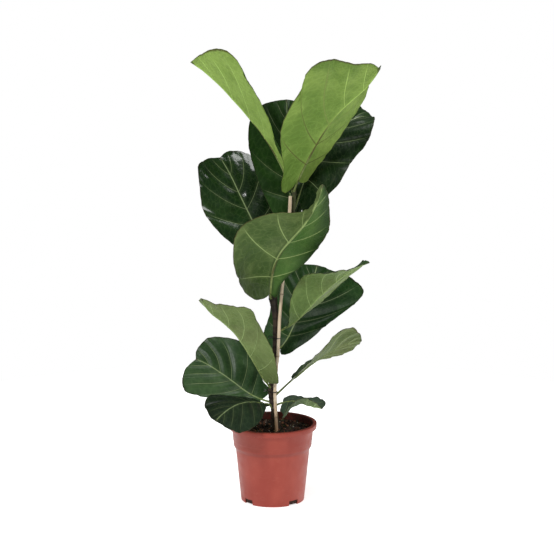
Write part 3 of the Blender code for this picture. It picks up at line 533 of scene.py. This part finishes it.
def leaf_face(leaf, face, deep, light, vein, gloss):
    """One face of a blade: a mottled green with pale veins, a fine net between them and a puckered surface."""
    specular, rough = gloss
    under, strong = face == "under", FACES[face]
    m = Nodes(f"{leaf}_{face}", rough, specular)
    flat = m.attribute("flat", "Vector")
    lateral, rib, out, along = map(m.attribute, ("vein_mm", "rib_mm", "out", "along"))

    mottle = m.plus(m.noise(flat, 14, 3, 0.55), m.noise(flat, 5, 1))
    m.color = m.mix(m.span(mottle, 0.75, 1.3), deep, light)
    blotch = BLOTCHES.get(leaf, USUAL_BLOTCH)
    if under and blotch:
        m.paint(m.span(m.noise(flat, 11), 0.5, 0.66, 0, blotch[0]), blotch[1])

    crooked = m.nudged(flat, 60, WOBBLE)
    from_cell_edge = m.cells(crooked, 72, "DISTANCE_TO_EDGE")
    coarse = m.span(from_cell_edge, 0, 0.06, 1, 0)
    blister = m.span(from_cell_edge, 0, 0.34)
    fine = m.span(m.cells(crooked, 260, "DISTANCE_TO_EDGE"), 0, 0.09, 1, 0)
    side = m.times(m.span(lateral, *strong["line"], 1, 0), m.span(out, 0.7, 0.97, 1, 0.1))
    middle = m.span(rib, *MIDRIB_LINE, 1, 0)
    glow = m.times(m.span(lateral, *VEIN_GLOW, 1, 0), m.span(out, 0.55, 1, 1, 0.2))
    glow = m.math("MAXIMUM", glow, m.span(rib, *MIDRIB_GLOW, 1, 0))
    # painted shade along both sides of each side vein
    painted_vein_shade = m.times(m.span(lateral, *PAINTED_VEIN_SHADE, 1, 0), m.span(out, 0.6, 1, 1, 0.2))
    veins = strong["veins"] if under else FAINT_VEINS.get(leaf, strong["veins"])
    for mark, share, tint in (
        # painted shade in the middle of the net's cells
        (m.span(blister, 0.3, 1), strong["cells"], darker(deep, 0.62)),
        (glow, strong["glow"], vein),
        (fine, strong["fine"], vein),
        (coarse, strong["coarse"], vein),
        # painted shade beside the side veins
        (painted_vein_shade, 0.35, darker(deep, 0.5)),
        (side, veins, vein),
        (middle, 0.7, vein),
    ):
        m.paint(m.times(mark, share), tint)

    if leaf in BROWN_RIBS and under:
        reach = BROWN_RIBS[leaf]
        brown = m.math("MAXIMUM", middle, side) if leaf == "leaf_02" else middle
        m.paint(m.times(brown, m.span(along, reach - BROWN_FADE, reach, 0.9, 0)), RIB_BROWN)
    if leaf == "leaf_06":  # painted shade: a greener right half, darker towards its margin where it curls away, and a painted shadow in the crease along the midrib
        right = m.times(m.span(m.split(flat, 1), -4 * MM, -1 * MM, 1, 0), m.math("SUBTRACT", 1, side))
        m.paint(m.times(right, 0.65), srgb(54, 98, 30))
        beside = m.math("SUBTRACT", 1, m.math("MAXIMUM", middle, side))
        # painted shadow in the fold's crease beside the midrib
        painted_crease_shadow = m.times(m.span(rib, *PAINTED_CREASE_SHADOW, 0.7, 0), beside)
        m.paint(m.times(painted_crease_shadow, m.span(along, 0.3, 0.7, 1, 0.3)), darker(deep, 0.6))
        # painted shade towards the right half's margin
        m.paint(m.times(right, m.span(out, 0.4, 1, 0, 0.75)), srgb(24, 50, 18))
    if leaf == "leaf_13" and under:  # painted shade, darker towards the foot
        m.paint(m.span(along, 0.45, 0.85, 0.75, 0), srgb(58, 72, 56))
    m.paint(m.span(along, 0.955, 0.985, 0, 0.75), srgb(62, 60, 44))
    fray = m.plus(out, m.times(m.noise(flat, 90), 0.03))
    m.paint(m.times(m.span(fray, 0.985, 1.005), 0.8), strong["margin"])
    speck = m.span(m.noise(flat, 210, 1), 0.74, 0.78)
    m.paint(m.times(speck, 0.5), srgb(86, 66, 34))

    least, most = (rough + change for change in GLOSS_RANGE)
    sheen = m.span(m.noise(flat, 16), 0.3, 0.7, least, most)
    if under:
        height = m.plus(m.times(coarse, 0.5), m.times(fine, 0.2))
        height = m.plus(height, m.times(blister, -0.7))
        height = m.plus(height, m.times(m.noise(flat, 120), 0.3))
    else:
        dents, swelling = SWELLS.get(leaf, USUAL_SWELLS)
        height = m.plus(m.times(blister, 0.25), m.times(m.noise(flat, 22, 1), dents))
        height = m.plus(height, m.times(m.span(lateral, *SWELL_REACH), swelling))
    return m.done(sheen, m.bump(height, BLADE_RELIEF, strong["relief"]))


def petiole_look(leaf):
    m = Nodes(leaf + "_stalk", 0.5, 0.3)
    where = m.place((1, 1, 0.3))
    m.color = m.mix(m.span(m.noise(where, 220, 3), 0.35, 0.65), srgb(112, 128, 70), srgb(134, 148, 88))
    if leaf in BROWN_RIBS:
        m.paint(m.times(m.attribute("foot"), 0.85), RIB_BROWN)
    return m.done(None, m.bump(m.noise(where, 500), 0.4 * MM, 0.5))


# Meshes


def linked(name, data):
    """A new object in the scene."""
    made = bpy.data.objects.new(name, data)
    bpy.context.scene.collection.objects.link(made)
    return made


def drawn(name, made, looks, mesh=None):
    """A new object with the faces of a bmesh, which is freed."""
    mesh = mesh or bpy.data.meshes.new(name)
    made.to_mesh(mesh)
    made.free()
    for look in looks:
        mesh.materials.append(look)
    return linked(name, mesh)


def smoothed(mesh, angle=SMOOTH_ANGLE):
    mesh.shade_smooth()
    mesh.set_sharp_from_angle(angle=angle)


def add_values(mesh, key, values, domain="POINT"):
    mesh.attributes.new(key, "FLOAT", domain).data.foreach_set("value", values)


def fine_grid(leaf, rib):
    """(points, flat coordinates in m, mm from a side vein, mm from the midrib, share out, share along) of a blade."""
    steps = {(vein + off) / VEINS for vein in range(VEINS) for off in AROUND_VEIN}
    steps = np.array(sorted({*steps, *LOBE_LINES, 1}))
    left, right = (half_blade(leaf, rib, half, steps, FINE_COLUMNS) for half in (0, 1))
    points = np.concatenate([left[:, ::-1], right[:, 1:]], axis=1)
    out = np.array(FINE_COLUMNS)
    share_out = np.broadcast_to(np.concatenate([out[::-1], out[1:]]), points.shape[:2])
    along = np.broadcast_to(steps[:, None], points.shape[:2])
    runs = norm(np.diff(points, axis=1), axis=2)
    middle = len(out) - 1
    across = np.zeros(points.shape[:2])
    across[:, middle + 1 :] = np.cumsum(runs[:, middle:], axis=1)
    across[:, :middle] = -np.cumsum(runs[:, :middle][:, ::-1], axis=1)[:, ::-1]
    rows_apart = norm(np.diff(points, axis=0), axis=2)
    lines = np.concatenate([np.zeros((1, points.shape[1])), np.cumsum(rows_apart, axis=0)])
    phase = steps * VEINS
    nearest = np.round(phase)
    from_vein = np.abs(phase - nearest)[:, None] * np.gradient(lines, phase, axis=0)
    no_vein = (nearest < 0.5) | (nearest > VEINS - 0.5)
    from_vein = np.where(no_vein[:, None], FAR_FROM_VEIN, from_vein)
    flat = np.stack([lines * 0.5 + along * leaf["length"] * 0.5, across, 0 * across], -1) * MM
    return points, flat, from_vein, np.abs(across), share_out, along


def ruffled(points, out, seed):
    """The blade with small uneven waves along its margins, in mm."""
    rough = random.Random(seed)
    normal = grid_normals(points)
    moved = points.copy()
    middle = points.shape[1] // 2
    for margin, inner, half in ((0, 1, slice(0, middle)), (-1, -2, slice(middle + 1, None))):
        line = points[:, margin]
        run = runs_along(line)
        lift, push = np.zeros_like(run), np.zeros_like(run)
        for length, high in RUFFLES:
            length *= rough.uniform(*RUFFLE_LENGTHS)
            lift += high * np.sin(2 * pi * (run / length + rough.random()))
            push += RUFFLE_PULL * high * np.sin(2 * pi * (run / length + rough.random()))
        calm = np.clip(run / RUFFLE_CALM, 0, 1) * np.clip((run[-1] - run) / RUFFLE_CALM, 0, 1)
        ramp = np.clip((out[:, half] - RUFFLE_START) / (1 - RUFFLE_START), 0, 1) ** RUFFLE_POWER * calm[:, None]
        outward = line - points[:, inner]
        outward /= np.maximum(norm(outward, axis=1), TINY)[:, None]
        moved[:, half] += (ramp * lift[:, None])[..., None] * normal[:, half]
        moved[:, half] -= (ramp * np.abs(push)[:, None])[..., None] * outward[:, None, :]
    return moved


def grid_normals(points):
    """Upward normals of a blade's grid, whose first and last rows shrink to a point and take their neighbour's."""
    normal = np.cross(np.gradient(points, axis=1), np.gradient(points, axis=0))
    size = norm(normal, axis=2)
    good = size > SMALLEST_NORMAL
    normal[good] /= size[good][:, None]
    normal[0] = normal[1]
    normal[1] = np.where(good[1][:, None], normal[1], normal[2])
    normal[-1] = normal[-2]
    return normal


def blade_piece(name, leaf, rib, looks):
    points, flat, from_vein, from_rib, out, along = fine_grid(leaf, rib)
    points = ruffled(points, out, int(name[5:7]))
    normal = grid_normals(points)
    taper = 1 - TIP_THINNING * along
    vein_shape = np.exp(-((from_vein / VEIN_WIDTH) ** 2)) * np.clip(VEIN_END_OUT - out, 0, 1) * taper
    rib_shape = np.exp(-((from_rib / (RIB_WIDTH + RIB_WIDENING * taper)) ** 2)) * taper
    groove = VEIN_GROOVE * vein_shape + RIB_GROOVE * rib_shape
    depth = BLADE_THICKNESS + (MIDRIB_THICKNESS - BLADE_THICKNESS) * rib_shape + VEIN_RELIEF * vein_shape
    upper = points - normal * groove[..., None]
    under = points - normal * depth[..., None]
    rows, columns = out.shape
    count = rows * columns
    index = np.arange(count).reshape(rows, columns)
    top = np.stack([index[:-1, :-1], index[:-1, 1:], index[1:, 1:], index[1:, :-1]], -1).reshape(-1, 4)
    bottom = top[:, ::-1] + count
    sides = ((index[:, 0], 1), (index[:, -1], -1))
    rims = [np.stack([line[:-1], line[1:], line[1:] + count, line[:-1] + count], -1)[:, ::way] for line, way in sides]
    rim = np.concatenate(rims)
    mesh = bpy.data.meshes.new(name)
    vertices = np.concatenate([upper.reshape(-1, 3), under.reshape(-1, 3)]) * MM
    mesh.from_pydata(vertices.tolist(), [], np.concatenate([top, bottom, rim]).tolist())
    mesh.polygons.foreach_set("material_index", [0] * len(top) + [1] * len(bottom) + [0] * len(rim))
    for key, values in (("vein_mm", from_vein), ("rib_mm", from_rib), ("out", out), ("along", along)):
        add_values(mesh, key, np.tile(values.reshape(-1), 2))
    layer = mesh.attributes.new("flat", "FLOAT_VECTOR", "POINT")
    layer.data.foreach_set("vector", np.tile(flat.reshape(-1, 3), (2, 1)).reshape(-1))
    made = bmesh.new()
    made.from_mesh(mesh)
    bmesh.ops.remove_doubles(made, verts=made.verts, dist=SAME_PLACE)
    piece = drawn(name, made, looks, mesh)
    smoothed(mesh)
    piece.location = tuple(value * MM for value in leaf["at"])
    return piece


def tube(name, points, radii, sides):
    """A closed smooth tube along points in mm, with a radius or a ring of radii at each, as a mesh object."""
    points = np.asarray(points, float)
    ahead = np.gradient(points, axis=0)
    ahead /= norm(ahead, axis=1)[:, None]
    right = np.cross(ahead[0], (0.3, 1, 0.1) if abs(ahead[0][1]) < 0.9 else (1, 0.2, 0))
    turn = np.linspace(0, 2 * pi, sides, endpoint=False)[:, None]
    rings = []
    for place, way, radius in zip(points, ahead, radii):
        right = right - (right @ way) * way
        right /= norm(right)
        up = np.cross(way, right)
        rings.append(place + np.broadcast_to(radius, (sides,))[:, None] * (np.cos(turn) * right + np.sin(turn) * up))
    vertices = np.concatenate([*rings, points[:1], points[-1:]]) * MM
    foot, tip = len(vertices) - 2, len(vertices) - 1
    last = foot - sides
    around = [(j, (j + 1) % sides) for j in range(sides)]
    faces = [(r + j, r + n, r + sides + n, r + sides + j) for r in range(0, last, sides) for j, n in around]
    faces += [cap for j, n in around for cap in ((foot, n, j), (tip, last + j, last + n))]
    mesh = bpy.data.meshes.new(name)
    mesh.from_pydata(vertices.tolist(), [], faces)
    smoothed(mesh)
    return linked(name, mesh)


def path_at(points, heights):
    dense = smooth(points, np.linspace(0, 1, 800))
    columns = [np.interp(heights, dense[:, 2], dense[:, axis]) for axis in range(len(points[0]))]
    return np.stack(columns, -1).tolist()


def petiole_piece(name, leaf, rib, look):
    """The petiole from inside the trunk, running on under the blade as a round rib."""
    stalk, at = leaf["stalk"], leaf["at"]
    axis = path_at(TRUNK, [at[2] - 3])[0]
    if hypot(axis[0] - at[0], axis[1] - at[1]) > PETIOLE_RADIUS * 3:
        axis = path_at(TRUNK, [at[2] - 16])[0]
    end = stalk + RIB_REACH * leaf["length"]
    runs = np.concatenate([np.linspace(2, stalk - 3, 10), np.linspace(stalk + 4, end, 12)])
    under_blade = [stalk, stalk + RIB_SWELL_AT, end]
    free = np.interp(runs, [0, stalk], [PETIOLE_RADIUS, PETIOLE_END_RADIUS])
    radii = np.where(runs < stalk, free, np.interp(runs, under_blade, RIB_RADII))
    depth = np.where(runs < stalk, 0, np.interp(runs, under_blade, RIB_DEPTHS))
    places = along_rib(rib, "place", runs) - along_rib(rib, "up", runs) * depth[:, None]
    root = np.array(axis[:3]) - np.array(at)
    gap = norm(places[0] - root)
    start = root + (places[0] - root) * 0.9 * axis[3] / gap if gap > axis[3] else root
    share = np.linspace(0, 1, PETIOLE_RINGS)
    stops = np.linspace(0, 1, len(runs) + 1)
    radius = np.interp(share, stops, [PETIOLE_RADIUS * PETIOLE_FLARE, *radii])
    made = tube(name, smooth([start, *places], share), radius, PETIOLE_SIDES)
    where = np.interp(share, stops, [0, *runs])
    brown_end = stalk + BROWN_RIBS.get(name[:7], 0) * leaf["length"]
    foot = np.clip((where - stalk * 0.7) / 8, 0, 1) * np.clip((brown_end - where) / 60, 0, 1)
    add_values(made.data, "foot", [*np.repeat(foot, PETIOLE_SIDES), foot[0], foot[-1]])
    made.location = tuple(value * MM for value in at)
    made.data.materials.append(look)
    return made


def build_leaves():
    for name, leaf in LEAVES.items():
        deep, light, under_deep, under_light = (srgb(*color) for color in GREENS[name])
        lift = VEIN_LIFT.get(name, USUAL_VEIN_LIFT)
        vein_under = tuple(min(1, value * lift + 0.02) for value in under_light)
        upper = leaf_face(name, "upper", deep, light, VEIN_TOP, GLOSS.get(name, USUAL_GLOSS))
        under = leaf_face(name, "under", under_deep, under_light, vein_under, UNDER_GLOSS)
        rib = midrib(leaf)
        blade = blade_piece(name + "_blade", leaf, rib, (upper, under))
        petiole = petiole_piece(name + "_petiole", leaf, rib, petiole_look(name))
        for piece in (blade, petiole):
            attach(piece, "root")
            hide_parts(name)


# Trunk, stake and ties


def bark():
    m = Nodes("bark", 0.72)
    where = m.place((1, 1, 0.35))
    rings = m.place((0.2, 0.2, 1))
    m.color = m.mix(m.span(m.noise(where, 90, 4, 0.65), 0.38, 0.66), srgb(54, 42, 31), srgb(88, 72, 54))
    m.paint(m.span(m.noise(rings, 260, 3, 0.6), 0.52, 0.72, 0, 0.5), srgb(48, 36, 28))
    m.paint(m.times(m.attribute("green"), 0.8), srgb(72, 84, 44))
    m.paint(m.attribute("dark"), srgb(34, 24, 18))
    height = m.plus(m.noise(where, 320, 4, 0.6), m.noise(rings, 500))
    return m.done(None, m.bump(height, 1.2 * MM, 0.7))


def bamboo():
    m = Nodes("bamboo", 0.48)
    fibre = m.place((1, 1, 0.03))
    blotch = m.noise(m.place((1, 1, 0.4)), 60, 3)
    m.color = m.mix(m.span(m.noise(fibre, 420, 3), 0.35, 0.68), srgb(222, 196, 160), srgb(246, 228, 200))
    m.paint(m.span(blotch, 0.55, 0.72, 0, 0.45), srgb(168, 134, 96))
    foot = m.span(m.split(m.place(), 2), *STAKE_FOOT_FADE, 0.7, 0)
    m.paint(foot, srgb(190, 138, 98))
    m.paint(m.attribute("dark"), srgb(136, 102, 70))
    return m.done(None, m.bump(m.noise(fibre, 600), 0.4 * MM, 0.5))


def hump(z, at, width):
    return exp(-(((z - at) / width) ** 2))


def stem_piece(name, rows, step, sides, rings, roughness, look, facts):
    """A stem along rows of (x, y, z, radius), with rings {height: swell in mm} and a rough skin."""
    heights = [*np.arange(rows[0][2], rows[-1][2], step), rows[-1][2]]
    sampled = np.array(path_at(rows, heights))
    radii = []
    for _, _, z, radius in sampled:
        grown = sum(swell * hump(z, at, RING_WIDTH) for at, swell in rings.items())
        ring = []
        for j in range(sides):
            turn = 2 * pi * j / sides
            spot = Vector((cos(turn) * 1.3, sin(turn) * 1.3, z * 0.05))
            ring.append(max(0.15, radius + grown + roughness * noise.noise(spot) * min(1, radius / 4)))
        radii.append(ring)
    made = tube(name, sampled[:, :3], radii, sides)
    for key, rule in facts.items():
        add_values(made.data, key, [rule(vertex.co.z / MM) for vertex in made.data.vertices])
    made.data.materials.append(look)
    return made


def build_stems():
    scars = {leaf["at"][2] - 1: LEAF_SCAR_SWELL for leaf in LEAVES.values()}
    joints = dict.fromkeys(STAKE_JOINTS, STAKE_JOINT_SWELL)
    old = random.Random(3)
    z = OLD_SCARS[0]
    while z < OLD_SCARS[1]:
        scars.setdefault(z, old.uniform(*OLD_SCAR_SWELL))
        z += old.uniform(*OLD_SCAR_GAP)

    def dark(z):
        near = max(hump(z, at, 2.2) for at in scars)
        sheath = 1.0 if SHEATH[0] < z < SHEATH[1] else 0.5 if z < SHEATH[0] else 0.0
        return min(1, 0.55 * near + 0.7 * sheath + min(1, max(0, (z - BUD_Z) / 12)))

    def green(z):
        return min(1, max(0, (z - GREEN_Z) / GREEN_FADE))

    def joint_dark(z):
        return min(1, sum(0.8 * hump(z, at, 1.3) for at in joints))

    trunk = stem_piece("trunk_bark", TRUNK, 1.5, 20, scars, 0.7, bark(), {"dark": dark, "green": green})
    cane = [(*point, STAKE_RADIUS) for point in STAKE]
    stake = stem_piece("stake_cane", cane, 2.5, 18, joints, 0.12, bamboo(), {"dark": joint_dark})
    for piece, node, slot in ((trunk, "trunk", "fig_bark"), (stake, "stake", "bamboo")):
        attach(piece, "root")
        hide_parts(node)
    wire = Nodes("wire", 0.4)
    where = wire.place()
    wire.color = wire.mix(wire.noise(where, 300), srgb(18, 18, 18), srgb(44, 42, 40))
    look = wire.done(None, wire.bump(wire.noise(where, 900, 1), 0.3 * MM, 0.4))
    for name in ("tie_lower", "tie_upper"):
        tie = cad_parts[name]
        tie.data.materials.clear()
        tie.data.materials.append(look)


# Pot


def pot_plastic():
    m = Nodes("pot_plastic", 0.42, 0.3)
    where = m.place()
    cloud = m.noise(m.place((1, 1, 0.5)), 22, 3)
    m.color = m.mix(m.span(cloud, 0.35, 0.7), srgb(146, 58, 46), srgb(158, 68, 54))
    dust = m.span(m.noise(m.place((1, 1, 2)), 70, 4, 0.65), 0.52, 0.75, 0, 0.25)
    m.paint(dust, srgb(168, 86, 68))
    height, inside = m.split(where, 2), m.attribute("inside")
    # painted shade: the collar and lip darker than the body
    m.paint(m.span(height, 120.5 * MM, 123.5 * MM, 0, 0.25), srgb(124, 46, 34))
    # painted shadow on the step under the collar
    step = m.times(m.span(height, 110 * MM, 115 * MM), m.span(height, 119.5 * MM, 122.5 * MM, 1, 0))
    m.paint(m.times(step, 0.35), srgb(96, 34, 28))
    # painted shade on the inside wall above the soil; the stain after it is soil dirt
    m.paint(m.times(inside, 0.75), srgb(84, 28, 22))
    stain = m.times(inside, m.span(m.noise(where, 160, 3), 0.4, 0.6, 0.15, 0.75))
    m.paint(stain, srgb(60, 38, 30))
    rough = m.span(m.noise(where, 60, 3), 0.3, 0.7, 0.36, 0.5)
    return m.done(rough, m.bump(m.noise(m.place((1, 1, 3)), 700), 0.2 * MM, 0.35))


def rounded(profile, radius):
    """The profile with each corner as a short arc of three points."""
    profile = np.array(profile)
    made = [profile[0]]
    for before, corner, after in zip(profile, profile[1:], profile[2:]):
        back, on = before - corner, after - corner
        cut = min(radius, norm(back) * 0.45, norm(on) * 0.45)
        start = corner + back / norm(back) * cut
        end = corner + on / norm(on) * cut
        made += [start, (start + end) / 4 + corner / 2, end]
    return made + [profile[-1]]


def build_pot():
    lip_bottom = POT_HEIGHT - LIP_HEIGHT
    line = BAND_TOP_RADIUS - BAND_TAPER
    inside = (
        (0, POT_FLOOR), (BASE_RADIUS - POT_WALL, POT_FLOOR), (BODY_TOP_RADIUS - POT_WALL, BODY_TOP_Z),
        (BAND_BOTTOM_RADIUS - POT_WALL, BAND_BOTTOM_Z), (LIP_INSIDE_RADIUS, POT_HEIGHT - LIP_BEVEL),
    )
    outside = (
        (LIP_INSIDE_RADIUS + LIP_BEVEL, POT_HEIGHT), (LIP_RADIUS, POT_HEIGHT),
        (LIP_RADIUS - 0.5 * MM, lip_bottom), (BAND_TOP_RADIUS, lip_bottom), (line, BAND_LINE_Z),
        (line - BAND_LINE_DEPTH, BAND_LINE_Z - 1 * MM), (BAND_BOTTOM_RADIUS, BAND_BOTTOM_Z),
        (BODY_TOP_RADIUS, BODY_TOP_Z), (BASE_RADIUS, BASE_BEVEL), (BASE_RADIUS - BASE_BEVEL, 0), (0, 0),
    )
    profile = rounded([*inside, *outside], POT_ROUNDING)
    mesh = bpy.data.meshes.new("pot_shell")
    mesh.from_pydata([(r, 0, z) for r, z in profile], [(k, k + 1) for k in range(len(profile) - 1)], [])
    pot = linked("pot_shell", mesh)
    screw = pot.modifiers.new("turn", "SCREW")
    screw.steps = screw.render_steps = POT_STEPS
    screw.use_merge_vertices = True
    screw.merge_threshold = 0.01 * MM
    depth = BASE_RADIUS + 4 * MM - NOTCH_INNER_RADIUS
    middle = NOTCH_INNER_RADIUS + depth / 2
    cutters = []
    for angle in NOTCH_ANGLES:
        bpy.ops.mesh.primitive_cube_add(size=1)
        notch = bpy.context.object
        turn = radians(angle)
        notch.scale = (depth, NOTCH_WIDTH, 2 * NOTCH_HEIGHT)
        notch.location = (middle * cos(turn), middle * sin(turn), 0)
        notch.rotation_euler.z = turn
        cut = pot.modifiers.new("notch", "BOOLEAN")
        cut.object = notch
        cutters.append(notch)
    bpy.context.view_layer.update()
    graph = bpy.context.evaluated_depsgraph_get()
    pot.data = bpy.data.meshes.new_from_object(pot.evaluated_get(graph))
    pot.modifiers.clear()
    for notch in cutters:
        bpy.data.objects.remove(notch)
    smoothed(pot.data, POT_SMOOTH_ANGLE)
    faces = pot.data.polygons
    inward = [face.normal.xy.dot(face.center.xy) < 0 and face.center.z > BODY_TOP_Z for face in faces]
    add_values(pot.data, "inside", inward, "FACE")
    pot.data.materials.clear()
    pot.data.materials.append(pot_plastic())
    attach(pot, "root")
    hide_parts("pot")


# Soil


def soil_look():
    m = Nodes("potting_soil", 0.9, 0.3)
    where = m.place()
    m.color = m.mix(m.span(m.noise(where, 420, 4, 0.7), 0.36, 0.68), srgb(24, 15, 12), srgb(82, 52, 38))
    m.paint(m.span(m.noise(where, 900), 0.62, 0.72, 0, 0.6), srgb(110, 92, 70))
    height = m.plus(m.noise(where, 380, 4, 0.7), m.times(m.cells(where, 300), 0.8))
    return m.done(None, m.bump(height, 3 * MM, 0.9))


def crumb_look(name, dark, light):
    m = Nodes(name, 0.85, 0.3)
    where = m.place()
    m.color = m.mix(m.span(m.noise(where, 160, 3, 0.6), 0.36, 0.66), dark, light)
    return m.done(None, m.bump(m.noise(where, 700, 3), 0.8 * MM, 0.7))


def soil_height(x, y):
    spot = Vector((x * 60, y * 60, 0.3))
    lump = noise.noise(spot) * 2.2 + noise.noise(spot * 2.7) * 1.4 + noise.noise(spot * 7.1) * 0.8
    return SOIL_TOP_Z + lump * MM


def soil_bed():
    """The soil's lumpy top and its plain sides and bottom."""
    made = bmesh.new()
    turns = [2 * pi * k / SOIL_SPOKES for k in range(SOIL_SPOKES)]
    lines = []
    for ring in range(1, SOIL_RINGS + 1):
        radius = SOIL_RADIUS * ring / SOIL_RINGS
        places = [(radius * cos(turn), radius * sin(turn)) for turn in turns]
        lines.append([made.verts.new((x, y, soil_height(x, y))) for x, y in places])
    for radius, z in SOIL_SIDE:
        lines.append([made.verts.new((radius * cos(turn), radius * sin(turn), z)) for turn in turns])
    centre = made.verts.new((0, 0, soil_height(0, 0)))
    for k in range(SOIL_SPOKES):
        n = (k + 1) % SOIL_SPOKES
        made.faces.new((centre, lines[0][k], lines[0][n]))
        for inner, outer in zip(lines, lines[1:]):
            made.faces.new((inner[k], outer[k], outer[n], inner[n]))
    made.faces.new(lines[-1][::-1])
    bed = drawn("soil_bed", made, [soil_look()])
    bed.data.shade_smooth()
    return bed


def soil_crumbs():
    """Loose crumbs, each a squashed, crooked ball."""
    rough = random.Random(11)
    crumbs = bmesh.new()
    for kind, (*_, count, sizes) in enumerate(CRUMBS):
        for _ in range(count):
            radius = CRUMB_REACH * sqrt(rough.random())
            turn = rough.uniform(0, 2 * pi)
            x, y = radius * cos(turn), radius * sin(turn)
            size = rough.uniform(*sizes) * MM
            before = len(crumbs.verts)
            bmesh.ops.create_icosphere(crumbs, subdivisions=1, radius=size)
            crumbs.verts.ensure_lookup_table()
            squash = Vector((rough.uniform(0.6, 1.3), rough.uniform(0.5, 1.0), rough.uniform(0.35, 0.7)))
            spin = rough.uniform(0, 2 * pi)
            tip = rough.uniform(-0.5, 0.5)
            lift = soil_height(x, y) + size * 0.25
            c, s = cos(spin), sin(spin)
            for vertex in crumbs.verts[before:]:
                co = vertex.co * squash * rough.uniform(0.8, 1.2)
                co.z += co.x * tip
                vertex.co = (x + co.x * c - co.y * s, y + co.x * s + co.y * c, lift + co.z)
                for face in vertex.link_faces:
                    face.material_index = kind
    looks = [crumb_look(name, srgb(*dark), srgb(*light)) for name, dark, light, *_ in CRUMBS]
    return drawn("soil_crumbs", crumbs, looks)


def build_soil():
    for piece in (soil_bed(), soil_crumbs()):
        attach(piece, "root")
        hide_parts("soil")


# Floor, light and camera


def build_floor():
    look = Nodes("floor", 0.95, 0.1)
    look.color = look.mix(look.noise(look.place(), 2), srgb(248, 248, 248), srgb(252, 252, 252))
    put(look.inputs["Emission Color"], WHITE)
    put(look.inputs["Emission Strength"], FLOOR_GLOW)
    disc = bmesh.new()
    bmesh.ops.create_circle(disc, cap_ends=True, segments=96, radius=FLOOR_RADIUS)
    floor = drawn("floor", disc, [look.done()])
    floor.location = (0, 0, -0.2 * MM)


def build_light():
    """White paper where the camera sees past the plant, a dim room elsewhere, and a dimmer one in a gloss."""
    scene = bpy.context.scene
    scene.view_settings.view_transform = "Standard"
    scene.world = bpy.data.worlds.new("studio")
    scene.world.use_nodes = True
    tree = scene.world.node_tree
    tree.nodes.remove(tree.nodes["Background"])
    seen = add_node(tree, "LightPath", {})
    shown = add_node(tree, "Background", {"Color": WHITE, "Strength": ROOM_LIGHT})[0]
    for rays, strength in (("Is Glossy Ray", ROOM_LIGHT * WALL_SHARE), ("Is Camera Ray", PAPER_LIGHT)):
        other = add_node(tree, "Background", {"Color": WHITE, "Strength": strength})[0]
        shown = add_node(tree, "MixShader", {0: seen[rays], 1: shown, 2: other})[0]
    put(tree.nodes["World Output"].inputs["Surface"], shown)
    for name, place, aim, size, power in LAMPS:
        data = bpy.data.lights.new(name, "AREA")
        data.shape, data.size, data.energy = "DISK", size, power
        lamp = linked(name, data)
        lamp.location = place
        lamp.rotation_euler = (Vector(aim) - Vector(place)).to_track_quat("-Z", "Y").to_euler()


def build_camera():
    data = bpy.data.cameras.new("camera")
    data.sensor_width = SENSOR_WIDTH
    data.lens = CAMERA_LENS
    camera = linked("camera", data)
    camera.location = CAMERA_PLACE
    camera.rotation_euler = (radians(CAMERA_TILT), 0, 0)
    bpy.context.scene.camera = camera


build_floor()
build_light()
build_camera()
build_leaves()
build_stems()
build_pot()
build_soil()
